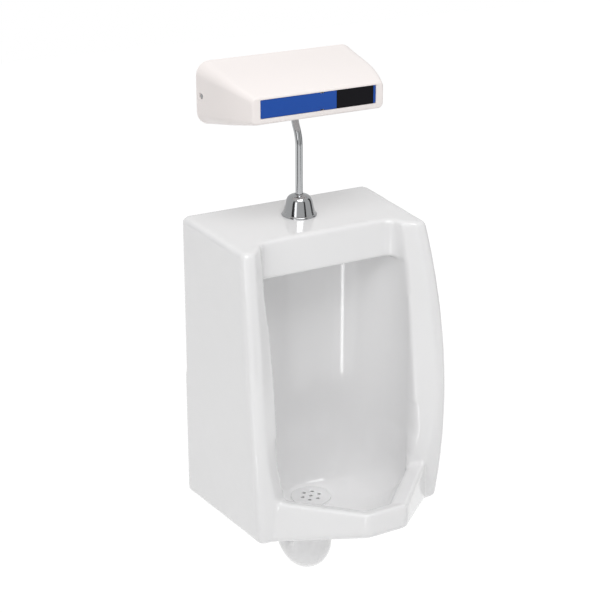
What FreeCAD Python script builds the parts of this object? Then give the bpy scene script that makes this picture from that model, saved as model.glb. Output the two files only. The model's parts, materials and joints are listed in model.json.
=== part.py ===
import FreeCAD, Part
import math
import os

import Sketcher
from FreeCAD import Placement, Rotation, Vector

# Wall hung urinal with a sensor flush box above it.
# X runs to the viewer's right, Y into the wall (the wall's face is Y = 0), Z up.
# The origin is the middle of the hanger screws, on the wall's face.

DOC = FreeCAD.newDocument("wall_hung_urinal")
SHEET = DOC.addObject("Spreadsheet::Sheet", "Sizes")

# Driving sizes in millimetres, degrees or counts. "drop" is a distance below the china's top,
# "rise" one above it, "half" half a width, "depth" a distance out from the wall.
SIZES = {
    # china: outer form
    "china_top": 60.0,
    "back_height": 517.0,
    "foot_rise": 10.0,
    "top_fall": 8.0,
    "back_half_top": 183.5,
    "back_half_foot": 188.0,
    "brow_drop": 10.0,
    "brow_half": 175.0,
    "brow_depth": 206.0,
    "belly_drop": 270.0,
    "belly_half": 190.5,
    "belly_depth": 257.0,
    "foot_drop": 505.0,
    "foot_half": 177.0,
    "foot_depth": 257.0,
    "china_wall": 12.0,
    "corner_round": 9.0,
    "top_round": 7.0,
    # china: mouth, niche and wings
    "wing_face": 22.0,
    "wing_sweep_drop": 363.0,
    "rim_mouth_half": 147.0,
    "inner_half_brow": 132.0,
    "inner_half_belly": 136.0,
    "inner_half_rim": 122.0,
    "wing_bevel_depth": 20.0,
    "niche_back": 64.0,
    "niche_half": 134.0,
    "niche_side_depth": 222.0,
    "basin_drop": 385.0,
    "apron_depth": 168.0,
    "apron_drop": 72.0,
    "apron_half": 106.0,
    "apron_wall": 14.0,
    # china: rim, lip and basin
    "rim_drop": 430.0,
    "rim_fall": 10.0,
    "rim_band": 33.0,
    "lip_half": 38.0,
    "lip_lap": 1.5,
    "lip_tuck": 6.0,
    "rim_edge": 2.0,
    "lip_depth": 373.0,
    "lip_front_drop": 475.0,
    "lip_crease_round": 12.0,
    "lip_edge_round": 8.0,
    "floor_drop": 523.0,
    "strainer_depth": 118.0,
    "pad_r": 43.0,
    # china: flush chamber
    "chamber_drop": 16.0,
    "chamber_half": 112.0,
    "chamber_back": 44.0,
    "spud_depth": 77.0,
    "spud_hole_r": 15.5,
    "spot_face_r": 32.0,
    # china: trap
    "trap_r": 35.0,
    "trap_bore_r": 25.0,
    "trap_leg_depth": 124.0,
    "trap_turn_r": 36.0,
    "trap_low_drop": 677.0,
    "outlet_drop": 555.0,
    "outlet_r": 30.0,
    "outlet_step": 1.0,
    "outlet_land": 15.0,
    # china: wall fixings
    "lug_w": 60.0,
    "lug_depth": 34.0,
    "lug_gap": 0.3,
    "lower_lug_drop": 465.0,
    "lower_lug_half": 152.0,
    "lower_lug_h": 50.0,
    "lower_lug_w": 44.0,
    "lower_hole_r": 4.5,
    # strainer
    "strainer_r": 36.0,
    "strainer_t": 5.0,
    "strainer_gap": 0.4,
    "strainer_hole_r": 2.6,
    "strainer_ring_r": 14.0,
    "strainer_holes": 6.0,
    # hanger brackets and fixings
    "hanger_half": 110.0,
    "hanger_w": 44.0,
    "hanger_t": 3.0,
    "hanger_low": 28.0,
    "hanger_shelf_z": 26.0,
    "hanger_reach": 18.0,
    "hanger_hook": 38.0,
    "hanger_screw_pitch": 30.0,
    "hanger_hole_r": 3.5,
    "hook_gap": 3.0,
    "screw_r": 3.0,
    "screw_neck": 0.2,
    "screw_head_r": 6.0,
    "screw_head_h": 3.5,
    "screw_length": 45.0,
    "lag_r": 4.0,
    "lag_head_r": 7.5,
    "lag_head_h": 5.5,
    "lag_length": 60.0,
    "lag_washer_r": 11.0,
    "lag_washer_t": 2.5,
    # spud and pipe
    "pipe_r": 6.35,
    "pipe_wall": 0.9,
    "pipe_gap": 0.3,
    "pipe_foot_in": 9.0,
    "pipe_bend_rise": 115.0,
    "pipe_bend_r": 60.0,
    "pipe_top_in": 8.0,
    "valve_depth": 60.0,
    "spud_tube_r": 14.0,
    "spud_cup_r": 10.5,
    "spud_cup_rise": 14.0,
    "spud_top_rise": 20.0,
    "spud_flange_r": 22.0,
    "spud_flange_t": 3.5,
    "spud_gasket_t": 3.0,
    "spud_washer_r": 23.5,
    "spud_washer_t": 2.0,
    "locknut_af": 40.0,
    "locknut_h": 8.0,
    "gland_af": 33.0,
    "gland_h": 13.0,
    "gland_lip": 3.0,
    "gland_gap": 0.3,
    "thread_gap": 0.1,
    # bell escutcheon
    "bell_base_r": 30.5,
    "bell_rim_h": 2.6,
    "bell_skirt_r": 27.0,
    "bell_skirt_h": 8.0,
    "bell_waist_r": 20.6,
    "bell_waist_h": 26.0,
    "bell_crown_r": 12.0,
    "bell_crown_h": 35.0,
    "bell_h": 37.5,
    "bell_wall": 1.2,
    "bell_pipe_gap": 0.4,
    # sensor flush box: cover
    "box_rise": 153.0,
    "box_back_half": 150.0,
    "box_back_h": 107.0,
    "box_front_rise": 181.0,
    "box_front_half": 122.0,
    "box_front_h": 44.0,
    "box_depth": 144.0,
    "box_wall": 3.0,
    "box_front_wall": 5.0,
    "box_corner_r": 14.0,
    "box_edge_round": 3.0,
    "fascia_half": 107.5,
    "fascia_h": 30.0,
    "fascia_rise": 190.5,
    "fascia_t": 2.2,
    "fascia_inset": 0.4,
    "fascia_gap": 0.6,
    "fascia_corner": 3.0,
    "notch_from": 2.0,
    "notch_w": 8.0,
    "notch_h": 2.0,
    "window_from": 33.0,
    "window_to": 103.0,
    "window_t": 1.2,
    "window_gap": 0.2,
    "window_rebate": 7.0,
    "pipe_slot_half": 12.0,
    # back plate and cover screws
    "plate_half": 138.0,
    "plate_h": 84.0,
    "plate_rise": 164.0,
    "plate_t": 2.5,
    "plate_corner": 10.0,
    "plate_screw_half": 60.0,
    "plate_screw_low": 14.0,
    "plate_screw_pitch": 56.0,
    "plate_hole_r": 2.8,
    "nipple_hole_r": 13.0,
    "tab_w": 20.0,
    "tab_h": 18.0,
    "cover_screw_depth": 13.0,
    "cover_screw_rise": 205.0,
    "cover_screw_r": 2.0,
    "cover_hole_r": 2.3,
    "cover_head_r": 4.2,
    "cover_head_h": 2.0,
    "cover_recess_r": 5.5,
    "cover_recess_half": 145.2,
    "cover_boss_r": 6.5,
    "cover_boss_gap": 0.3,
    "cover_screw_length": 12.0,
    "plate_screw_r": 2.4,
    "plate_head_r": 4.6,
    "plate_head_h": 2.8,
    "plate_screw_length": 32.0,
    # flush valve; heights above the foot of its tail
    "valve_rise": 182.0,
    "tail_r": 10.4,
    "tail_h": 16.0,
    "valve_r": 20.0,
    "valve_h": 44.0,
    "outlet_bore_r": 7.0,
    "seat_r": 9.0,
    "seat_h": 24.0,
    "channel_h": 20.0,
    "piston_r": 15.0,
    "piston_fit": 0.05,
    "piston_h": 11.0,
    "seat_gap": 0.3,
    "piston_cup_r": 9.0,
    "piston_floor": 4.0,
    "seat_washer_in": 6.5,
    "seat_washer_out": 11.0,
    "seat_washer_t": 1.8,
    "seal_groove": 1.6,
    "seal_h": 2.4,
    "seal_low": 5.0,
    "spring_r": 7.0,
    "spring_wire_r": 0.5,
    "cap_skirt": 7.0,
    "cap_wall": 3.9,
    "cap_h": 7.0,
    "cap_boss_r": 4.5,
    "cap_boss_h": 2.2,
    "cap_seal_in": 16.5,
    "cap_seal_out": 19.5,
    "cap_seal_t": 1.0,
    "coupling_af": 26.0,
    "coupling_h": 14.0,
    "coupling_lip": 2.0,
    "outlet_packing_t": 4.0,
    # solenoid; heights above the foot of the valve's tail
    "solenoid_out": 40.0,
    "pilot_r": 12.0,
    "pilot_low": 12.0,
    "pilot_floor": 20.0,
    "pilot_high": 28.0,
    "pilot_arm_r": 6.0,
    "pilot_arm_z": 21.6,
    "pilot_port_r": 1.4,
    "core_low": 24.0,
    "core_r": 5.0,
    "core_top": 50.0,
    "core_lid": 1.5,
    "coil_r": 14.0,
    "coil_h": 18.0,
    "coil_gap": 0.1,
    "plunger_r": 4.0,
    "plunger_fit": 0.05,
    "plunger_h": 16.0,
    "plunger_spring_r": 2.6,
    "plunger_spring_wire_r": 0.35,
    # stop valve and supply; "out" is a distance to the right of the valve's axis
    "stop_z": 24.0,
    "stop_r": 12.5,
    "stop_end": 66.0,
    "stop_bore_r": 8.5,
    "stop_seat_out": 32.0,
    "stop_port_r": 4.0,
    "plug_out": 38.0,
    "plug_head_r": 7.5,
    "plug_head_t": 4.0,
    "plug_stem_r": 4.0,
    "plug_stem": 16.0,
    "spindle_out": 50.0,
    "spindle_length": 26.0,
    "spindle_r": 5.5,
    "spindle_fit": 0.05,
    "spindle_collar_r": 7.5,
    "spindle_collar_t": 4.0,
    "spindle_bore": 14.0,
    "spindle_slot_w": 1.6,
    "spindle_slot_deep": 3.0,
    "gland_nut_af": 24.0,
    "gland_nut_t": 7.0,
    "gland_nose": 8.0,
    "packing_gap": 0.3,
    "supply_out": 46.0,
    "supply_boss_r": 14.5,
    "supply_boss_depth": 32.0,
    "nipple_r": 10.48,
    "nipple_bore_r": 7.5,
    "nipple_seat_depth": 46.0,
    "nipple_free": 15.0,
    "nipple_collar_r": 12.2,
    "nipple_collar_t": 3.0,
    "supply_port_r": 6.0,
    "filter_gap": 0.3,
    "filter_wall": 0.8,
    "filter_length": 20.0,
    # electronics
    "module_from": 30.0,
    "module_to": 106.0,
    "module_h": 26.0,
    "module_depth": 20.0,
    "module_wall": 1.6,
    "board_t": 1.6,
    "board_gap": 0.4,
    "eye_r": 2.5,
    "eye_length": 8.0,
    "emitter_x": 50.0,
    "receiver_x": 86.0,
    "chip": 9.0,
    "chip_t": 1.8,
    "battery_r": 7.2,
    "battery_length": 50.0,
    "battery_tip_r": 2.7,
    "battery_tip_h": 1.2,
    "battery_pitch": 15.2,
    "battery_wall": 1.6,
    "battery_out": 78.0,
    "battery_rise": 176.0,
    "lead_t": 2.0,
    "lead_w": 4.0,
    "lead_bend_r": 8.0,
    "lead_clear": 18.0,
    "battery_lead_rise": 198.0,
    "coil_lead_rise": 214.0,
}


class Size:
    """A value together with the sheet expression that drives it."""

    def __init__(self, value, text):
        self.value = value
        self.text = text

    def __float__(self):
        return self.value

    def __add__(self, other):
        other = size(other)
        return Size(self.value + other.value, "(" + self.text + " + " + other.text + ")")

    def __radd__(self, other):
        return size(other) + self

    def __sub__(self, other):
        other = size(other)
        return Size(self.value - other.value, "(" + self.text + " - " + other.text + ")")

    def __rsub__(self, other):
        return size(other) - self

    def __mul__(self, other):
        other = size(other)
        return Size(self.value * other.value, "(" + self.text + " * " + other.text + ")")

    def __rmul__(self, other):
        return size(other) * self

    def __truediv__(self, other):
        other = size(other)
        return Size(self.value / other.value, "(" + self.text + " / " + other.text + ")")

    def __neg__(self):
        return size(0.0) - self


def size(value):
    """Gives a plain number the same shape as a value from the sheet."""
    if isinstance(value, Size):
        return value
    return Size(float(value), repr(float(value)))


class Sheet:
    """Reads the sheet's aliases as attributes."""

    def __getattr__(self, alias):
        return Size(SIZES[alias], "Sizes." + alias)


for row, (alias, number) in enumerate(SIZES.items(), start=1):
    SHEET.set("A" + str(row), alias)
    SHEET.set("B" + str(row), repr(number))
    SHEET.setAlias("B" + str(row), alias)
DOC.recompute()
s = Sheet()

PARTS = {}
TURNS = {
    "+z": Rotation(),
    "-z": Rotation(Vector(1, 0, 0), 180),
    "-y": Rotation(Vector(1, 0, 0), 90),
    "+y": Rotation(Vector(1, 0, 0), -90),
    "+x": Rotation(Vector(0, 1, 0), 90),
    "-x": Rotation(Vector(0, 1, 0), -90),
}


# ---------------------------------------------------------------- general tools


def place(item, at, towards="+z"):
    """Puts an object at a point, its own Z axis turned towards a direction."""
    at = [size(value) for value in at]
    item.Placement = Placement(Vector(*[value.value for value in at]), TURNS[towards])
    for letter, value in zip("xyz", at):
        item.setExpression("Placement.Base." + letter, value.text)


def new_body(label, at=(0, 0, 0), towards="+z"):
    body = DOC.addObject("PartDesign::Body", label)
    body.Label = label
    place(body, at, towards)
    return body


def origin_plane(body, role):
    for feature in body.Origin.OriginFeatures:
        if feature.Role == role:
            return feature
    raise ValueError("no plane " + role)


def fix_point(sketch, geometry, end, point, tag):
    """Holds one sketch point at its two coordinates."""
    for kind, letter, value in zip(("DistanceX", "DistanceY"), "uv", point):
        value = size(value)
        index = sketch.addConstraint(Sketcher.Constraint(kind, geometry, end, value.value))
        name = tag + letter
        sketch.renameConstraint(index, name)
        sketch.setExpression("Constraints." + name, value.text)


def plain(point):
    return Vector(size(point[0]).value, size(point[1]).value, 0)


def draw_outline(sketch, outline, tag):
    """Draws a closed outline of points; a third entry in a point is the arc's middle before it."""
    first = sketch.GeometryCount
    count = len(outline)
    for index, point in enumerate(outline):
        following = outline[(index + 1) % count]
        if len(following) == 3:
            edge = Part.Arc(plain(point), plain(following[2]), plain(following))
        else:
            edge = Part.LineSegment(plain(point), plain(following))
        sketch.addGeometry(edge, False)
    for index in range(count):
        arc = len(outline[(index + 1) % count]) == 3
        start, end = arc_ends(sketch, first + index, plain(outline[index])) if arc else (1, 2)
        next_arc = len(outline[(index + 2) % count]) == 3
        follower = first + (index + 1) % count
        next_start = 1
        if next_arc:
            next_start = arc_ends(sketch, follower, plain(outline[(index + 1) % count]))[0]
        sketch.addConstraint(Sketcher.Constraint("Coincident", first + index, end, follower, next_start))
        fix_point(sketch, first + index, start, outline[index][:2], tag + "p" + str(index))
        if arc:
            middle = outline[(index + 1) % count][2]
            dot = sketch.addGeometry(Part.Point(plain(middle)), True)
            sketch.addConstraint(Sketcher.Constraint("PointOnObject", dot, 1, first + index))
            fix_point(sketch, dot, 1, middle, tag + "m" + str(index))


def arc_ends(sketch, geometry, start):
    """An arc is stored anticlockwise, so its first end can be either of the two given."""
    if (sketch.getPoint(geometry, 1) - start).Length < (sketch.getPoint(geometry, 2) - start).Length:
        return 1, 2
    return 2, 1


def draw_circle(sketch, centre, radius, tag):
    radius = size(radius)
    geometry = sketch.addGeometry(Part.Circle(plain(centre), Vector(0, 0, 1), radius.value), False)
    fix_point(sketch, geometry, 3, centre, tag)
    index = sketch.addConstraint(Sketcher.Constraint("Radius", geometry, radius.value))
    sketch.renameConstraint(index, tag + "r")
    sketch.setExpression("Constraints." + tag + "r", radius.text)


def add_sketch(body, name, role, outlines=(), circles=(), offset=0.0):
    """A sketch on one of the body's own planes, moved along the plane's normal by offset."""
    sketch = body.newObject("Sketcher::SketchObject", name)
    sketch.AttachmentSupport = [(origin_plane(body, role), "")]
    sketch.MapMode = "FlatFace"
    offset = size(offset)
    sketch.AttachmentOffset = Placement(Vector(0, 0, offset.value), Rotation())
    sketch.setExpression("AttachmentOffset.Base.z", offset.text)
    for index, outline in enumerate(outlines):
        draw_outline(sketch, outline, "o" + str(index))
    for index, (centre, radius) in enumerate(circles):
        draw_circle(sketch, centre, radius, "c" + str(index))
    return sketch


def finish(item):
    """Notes an object as a piece that is handed out under its own label."""
    PARTS[item.Label] = item
    return item


def turned(label, profile, at, towards="+z", keep=True):
    """A piece turned about its own Z axis from a profile of (radius, height) points."""
    body = new_body(label, at, towards)
    sketch = add_sketch(body, label + "_profile", "XZ_Plane", [profile])
    feature = body.newObject("PartDesign::Revolution", label + "_turning")
    feature.Profile = sketch
    feature.ReferenceAxis = (sketch, ["V_Axis"])
    feature.Angle = 360
    if keep:
        finish(body)
    return body


def padded(label, role, outlines, length, at=(0, 0, 0), circles=(), offset=0.0, keep=True):
    """A piece cut from plate: outlines on a plane, padded along its normal."""
    body = new_body(label, at)
    sketch = add_sketch(body, label + "_outline", role, outlines, circles, offset)
    feature = body.newObject("PartDesign::Pad", label + "_pad")
    feature.Profile = sketch
    length = size(length)
    feature.Length = length.value
    feature.setExpression("Length", length.text)
    if keep:
        finish(body)
    return body


def rectangle(u_low, v_low, u_high, v_high):
    return [(u_low, v_low), (u_high, v_low), (u_high, v_high), (u_low, v_high)]


def soft_rectangle(half, low, high, radius):
    """A rectangle about the V axis with rounded corners."""
    near = radius * (1.0 - math.sqrt(0.5))
    return [
        (-half + radius, low),
        (half - radius, low),
        (half, low + radius, (half - near, low + near)),
        (half, high - radius),
        (half - radius, high, (half - near, high - near)),
        (-half + radius, high),
        (-half, high - radius, (-half + near, high - near)),
        (-half, low + radius),
    ], (-half + near, low + near)


def closed_soft_rectangle(half, low, high, radius):
    points, last_middle = soft_rectangle(half, low, high, radius)
    first = points[0]
    return [(first[0], first[1], last_middle)] + points[1:]


def hexagon(across_flats):
    """Corner points of a hexagon with two flats facing up and down."""
    half = across_flats / 2
    corner = across_flats / math.sqrt(3.0)
    return [
        (corner, 0),
        (corner / 2, half),
        (-corner / 2, half),
        (-corner, 0),
        (-corner / 2, -half),
        (corner / 2, -half),
    ]


def cylinder(name, radius, length, at, towards="+z"):
    item = DOC.addObject("Part::Cylinder", name)
    radius = size(radius)
    length = size(length)
    item.Radius = radius.value
    item.Height = length.value
    item.setExpression("Radius", radius.text)
    item.setExpression("Height", length.text)
    place(item, at, towards)
    return item


def block(name, low, high):
    item = DOC.addObject("Part::Box", name)
    for kind, bottom, top in zip(("Length", "Width", "Height"), low, high):
        span = size(top) - size(bottom)
        setattr(item, kind, span.value)
        item.setExpression(kind, span.text)
    place(item, low)
    return item


def joined(label, items, keep=False):
    item = DOC.addObject("Part::MultiFuse", label)
    item.Label = label
    item.Shapes = items
    item.Refine = True
    return finish(item) if keep else item


def less(label, base, tools, keep=False):
    """Base with every tool cut away; a tool that misses the base is an error."""
    tool = tools[0]
    if len(tools) > 1:
        tool = joined(label + "_tools", tools)
    item = DOC.addObject("Part::Cut", label)
    item.Label = label
    item.Base = base
    item.Tool = tool
    item.Refine = True
    return finish(item) if keep else item


def solid_feature(label, shape):
    item = DOC.addObject("Part::Feature", label)
    item.Label = label
    item.Shape = shape
    return finish(item)


def copies(label, source, spots):
    """Identical pieces share one node: a group of separate solids, each moved by one of the spots."""
    DOC.recompute()
    group = []
    for spot in spots:
        twin = source.Shape.copy()
        twin.translate(Vector(*[size(value).value for value in spot]))
        group.append(twin)
    return solid_feature(label, Part.makeCompound(group))


def through(stations, drop):
    """The quadratic through three (drop, value) stations."""
    total = 0.0
    for index, (here, value) in enumerate(stations):
        weight = 1.0
        for other, (there, _) in enumerate(stations):
            if other != index:
                weight *= (drop - there) / (here - there)
        total += weight * value
    return total


# ---------------------------------------------------------------- china

TOP = float(s.china_top)
STEPS = 3
SWEPT_STEPS = 5
# How far the wall behind the slanted faces is kept, in walls, measured straight back.
BEVEL_BACKING = 1.2


def station_list(brow, belly, foot):
    return [
        (float(s.brow_drop), float(brow)),
        (float(s.belly_drop), float(belly)),
        (float(s.foot_drop), float(foot)),
    ]


def wing_half(drop):
    return through(station_list(s.brow_half, s.belly_half, s.foot_half), drop)


def wing_depth(drop):
    return through(station_list(s.brow_depth, s.belly_depth, s.foot_depth), drop)


def back_half(drop):
    share = drop / float(s.back_height)
    return float(s.back_half_top) + share * float(s.back_half_foot - s.back_half_top)


def mouth_half(drop):
    """Where the wing's flat face ends; it sweeps in to meet the rim."""
    edge = wing_half(drop) - float(s.wing_face)
    start = float(s.wing_sweep_drop)
    rim = float(s.rim_drop)
    if drop > start:
        swept = wing_half(rim) - float(s.wing_face) - float(s.rim_mouth_half)
        edge -= swept * ((drop - start) / (rim - start)) ** 2
    return edge


def inner_half(drop):
    stations = [
        (float(s.brow_drop), float(s.inner_half_brow)),
        (float(s.belly_drop), float(s.inner_half_belly)),
        (float(s.rim_drop), float(s.inner_half_rim)),
    ]
    return through(stations, drop)


def spread(low, high, count):
    return [low + (high - low) * index / (count - 1) for index in range(count)]


def at_drop(points, drop):
    return [Vector(x, y, TOP - drop) for x, y in points]


def polygon_wire(points):
    return Part.makePolygon(points + [points[0]])


def rounded_wire(points, radii):
    """A closed wire through the points, with each corner rounded by its own radius."""
    count = len(points)
    corners = []
    for index, corner in enumerate(points):
        before = (points[index - 1] - corner).normalize()
        after = (points[(index + 1) % count] - corner).normalize()
        radius = radii[index]
        if radius == 0.0:
            corners.append((corner, None, corner))
            continue
        turn = before.getAngle(after)
        reach = radius / math.tan(turn / 2)
        middle_way = (before + after).normalize()
        middle = corner + middle_way * (radius / math.sin(turn / 2) - radius)
        corners.append((corner + before * reach, middle, corner + after * reach))
    edges = []
    for index, (start, middle, end) in enumerate(corners):
        if middle is not None:
            edges.append(Part.Arc(start, middle, end).toShape())
        following = corners[(index + 1) % count][0]
        edges.append(Part.makeLine(end, following))
    return Part.Wire(edges)


def lofted(wires, ruled=False):
    return Part.makeLoft(wires, True, ruled, False)


def prism(points, direction):
    return Part.Face(polygon_wire(points)).extrude(direction)


def side_profile(top_extra, foot_extra):
    """The china's side view as a slab right across it: a falling top and a foot that rises."""
    reach = 2 * float(s.brow_depth)
    fall = float(s.top_fall) / float(s.brow_depth)
    rise = float(s.foot_rise) / float(s.foot_depth)
    back = 5.0
    half = 2 * float(s.belly_half)
    low = float(s.back_height) + foot_extra
    points = [
        Vector(-half, back, TOP - top_extra + fall * back),
        Vector(-half, -reach, TOP - top_extra - fall * reach),
        Vector(-half, -reach, TOP - low + rise * reach),
        Vector(-half, back, TOP - low - rise * back),
    ]
    return prism(points, Vector(2 * half, 0, 0))


def outer_form():
    """Side panels and wings as one closed block, before anything is taken out."""
    over = 25.0
    wires = []
    for drop in spread(-over, float(s.back_height) + over, STEPS):
        half = back_half(drop)
        front = wing_half(drop)
        depth = wing_depth(drop)
        points = at_drop([(-half, 0), (half, 0), (front, -depth), (-front, -depth)], drop)
        rounding = float(s.corner_round)
        wires.append(rounded_wire(points, [0.0, 0.0, rounding, rounding]))
    form = lofted(wires).common(side_profile(0.0, 0.0))
    return form


def round_outer_edges(form):
    """Rounds the top's front and sides, and the foot, but not the edges on the wall."""
    chosen = []
    for edge in form.Edges:
        box = edge.BoundBox
        if box.YMin > -1.0:
            continue
        near_top = box.ZMin > TOP - 2 * float(s.top_fall)
        near_foot = box.ZMax < TOP - float(s.back_height) + 2 * float(s.foot_rise)
        if near_top or near_foot:
            chosen.append(edge)
    return form.makeFillet(float(s.top_round), chosen)


def hollow_form():
    """The room behind the bowl and inside the side panels, open to the wall and downwards.

    Its front corners are cut off to leave a full wall behind the slanted faces beside the niche.
    """
    wall = float(s.china_wall)
    over = 60.0
    wires = []
    for drop in spread(-over, float(s.back_height) + over, STEPS):
        half = back_half(drop) - wall
        front = wing_half(drop) - wall
        depth = wing_depth(drop) - wall
        near = wing_half(drop) - float(s.wing_face) + wall * BEVEL_BACKING / 2
        ridge = inner_half(drop) + wall * BEVEL_BACKING / 2
        behind = wing_depth(drop) - float(s.wing_bevel_depth) - wall * BEVEL_BACKING
        side = [(half, 1.0), (front, -depth), (near, -depth), (ridge, -behind)]
        points = side + [(-x, y) for x, y in reversed(side)]
        wires.append(polygon_wire(at_drop(points, drop)))
    return lofted(wires).common(side_profile(wall, over / 2))


def niche(low, high, grow=0.0):
    """The niche as an upright prism: a round back between two sides that run out to the front."""
    half = float(s.niche_half) + grow
    edge = -float(s.niche_side_depth)
    reach = -2 * float(s.brow_depth)
    z = TOP - high
    start = Vector(half, edge, z)
    end = Vector(-half, edge, z)
    corners = [end, Vector(-half, reach, z), Vector(half, reach, z), start]
    edges = [Part.Arc(start, Vector(0, grow - float(s.niche_back), z), end).toShape()]
    for index in range(3):
        edges.append(Part.makeLine(corners[index], corners[index + 1]))
    return Part.Face(Part.Wire(edges)).extrude(Vector(0, 0, high - low))


def wing_bevels(low, high):
    """The space between the wings, from their flat faces in to the ridge beside the niche."""
    reach = 2 * float(s.brow_depth)
    wires = []
    for drop in spread(low, high, SWEPT_STEPS):
        edge = mouth_half(drop)
        inner = inner_half(drop)
        depth = wing_depth(drop)
        bevel = depth - float(s.wing_bevel_depth)
        half = [(inner, -bevel), (edge, -depth), (edge, -reach)]
        points = half + [(-x, y) for x, y in reversed(half)]
        wires.append(polygon_wire(at_drop(points, drop)))
    return lofted(wires)


def mouth():
    """The open top between the wings: straight along the apron, rounded into the wings."""
    inner = float(s.niche_half)
    straight = float(s.apron_half)
    apron = float(s.apron_depth)
    turn = inner - straight
    reach = 2 * float(s.brow_depth)
    over = 30.0
    z = TOP - float(s.apron_drop)
    near = turn * (1.0 - math.sqrt(0.5))
    start = Vector(inner, -apron - turn, z)
    middle = Vector(inner - near, -apron - near, z)
    end = Vector(straight, -apron, z)
    right = [Vector(inner, -reach, z), start]
    edges = [Part.makeLine(right[0], right[1]), Part.Arc(start, middle, end).toShape()]
    edges.append(Part.makeLine(end, Vector(-straight, -apron, z)))
    left = [Vector(-point.x, point.y, z) for point in (end, middle, start)]
    edges.append(Part.Arc(*left).toShape())
    edges.append(Part.makeLine(left[2], Vector(-inner, -reach, z)))
    edges.append(Part.makeLine(Vector(-inner, -reach, z), right[0]))
    return Part.Face(Part.Wire(edges)).extrude(Vector(0, 0, float(s.apron_drop) + over))


def lip_line():
    """The lip's right front corner, the way back from it along the lip's side, and the way inwards."""
    join = Vector(float(s.rim_mouth_half + s.lip_lap), -wing_depth(float(s.rim_drop)), 0)
    corner = Vector(float(s.lip_half), -float(s.lip_depth), 0)
    way = (join - corner).normalize()
    return corner, way, Vector(-way.y, way.x, 0)


def rim_points():
    """Right half of the rim's inner line: its start on the wing, a point beside it and its corner."""
    rim = float(s.rim_drop)
    band = float(s.rim_band)
    corner, way, inward = lip_line()
    shifted = corner + inward * band
    front = -float(s.lip_depth) + band
    inner_corner = shifted + way * ((front - shifted.y) / way.y)
    start = Vector(inner_half(rim), -(wing_depth(rim) - float(s.wing_bevel_depth)), 0)
    beside = start + (inner_corner - start) * 0.03
    return [start, beside, inner_corner]


def pad_points():
    """Right half of the flat round the waste, in step with rim_points."""
    radius = float(s.pad_r)
    middle = float(s.strainer_depth)
    points = []
    for degrees in (-28.0, -38.0, -66.0):
        angle = math.radians(degrees)
        points.append(Vector(radius * math.cos(angle), radius * math.sin(angle) - middle, 0))
    return points


def basin_wire(share, drop, grow, top):
    """Level section of the basin, between the pad (share 0) and the outline at its top (share 1)."""
    z = TOP - drop
    points = []
    for pad, rim in zip(pad_points(), top):
        spot = pad + (rim - pad) * share
        ahead = grow if rim is top[2] else 0.0
        points.append(Vector(spot.x + grow * (0.4 + 0.6 * share), spot.y - ahead, z))
    pad_back = float(s.strainer_depth - s.pad_r)
    back = pad_back + (float(s.niche_back) - pad_back) * share - grow
    return outline_wire(points, back, z)


def outline_wire(right, back, z):
    """Closed wire from three points on the right, their mirror images and an arc round the back."""
    left = [Vector(-point.x, point.y, z) for point in right]
    edges = [Part.makeLine(right[0], right[1]), Part.makeLine(right[1], right[2])]
    edges.append(Part.makeLine(right[2], left[2]))
    edges += [Part.makeLine(left[2], left[1]), Part.makeLine(left[1], left[0])]
    edges.append(Part.Arc(left[0], Vector(0, -back, z), right[0]).toShape())
    return Part.Wire(edges)


def basin(grow=0.0):
    """The bowl: it leaves the niche above the rim, draws in, then falls as a quarter ellipse to the pad."""
    rim = rim_points()
    start = float(s.rim_drop + s.rim_fall)
    deep = float(s.floor_drop) + grow - start
    wide = Vector(float(s.niche_half), -float(s.niche_side_depth), 0)
    top = [wide, wide + (rim[2] - wide) * 0.03, rim[2]]
    neck = lofted([basin_wire(1.0, float(s.basin_drop), grow, top), basin_wire(1.0, start, grow, rim)])
    wires = []
    for part in (0.0, 0.4, 0.75, 1.0):
        share = math.sqrt(1.0 - part * part)
        wires.append(basin_wire(share, start + deep * part, grow, rim))
    return neck, lofted(wires, grow > 0.0)


def rim_bevel():
    """The band that falls from the rim's outer edge to the basin."""
    rim = float(s.rim_drop)
    fall = float(s.rim_fall)
    inner = rim_points()
    corner, way, inward = lip_line()
    edge = float(s.rim_edge)
    near = -(wing_depth(rim) - edge)
    start = corner + inward * edge
    join = start + way * ((near - start.y) / way.y)
    outer = start + way * ((-float(s.lip_depth) + edge - start.y) / way.y)
    wires = []
    for points, drop in (([inner[0], join, outer], rim), (inner, rim + fall)):
        raised = [Vector(point.x, point.y, TOP - drop) for point in points]
        wires.append(outline_wire(raised, float(s.niche_back), TOP - drop))
    over = 1.0
    lid = Part.Face(wires[0]).extrude(Vector(0, 0, over))
    return lofted(wires, True), lid


def lip():
    """The eight sided lip in front of the wings, its underside rising to the front."""
    rim = float(s.rim_drop)
    corner, way, _ = lip_line()
    near = -(wing_depth(rim) - float(s.lip_tuck))
    tuck = corner + way * ((near - corner.y) / way.y)
    back = -float(s.brow_depth)
    half = [(tuck.x, back), (tuck.x, tuck.y), (corner.x, corner.y)]
    plan = half + [(-x, y) for x, y in reversed(half)]
    tall = prism(at_drop(plan, float(s.floor_drop) + 40.0), Vector(0, 0, float(s.floor_drop) + 40.0 - rim))
    foot = float(s.back_height - s.foot_rise)
    slope = (foot - float(s.lip_front_drop)) / (float(s.lip_depth) - float(s.foot_depth))
    ahead = float(s.lip_depth) + 20.0
    wide = 2 * float(s.belly_half)
    near = foot + slope * (float(s.foot_depth) + back)
    far = float(s.lip_front_drop) - slope * (ahead - float(s.lip_depth))
    side = [
        Vector(-wide, back, TOP - rim),
        Vector(-wide, -ahead, TOP - rim),
        Vector(-wide, -ahead, TOP - far),
        Vector(-wide, back, TOP - near),
    ]
    form = tall.common(prism(side, Vector(2 * wide, 0, 0)))
    creases = [edge for edge in form.Edges if is_crease(edge, corner)]
    form = form.makeFillet(float(s.lip_crease_round), creases)
    lower = [edge for edge in form.Edges if is_lip_foot(edge, tuck.y)]
    return form.makeFillet(float(s.lip_edge_round), lower)


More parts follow.
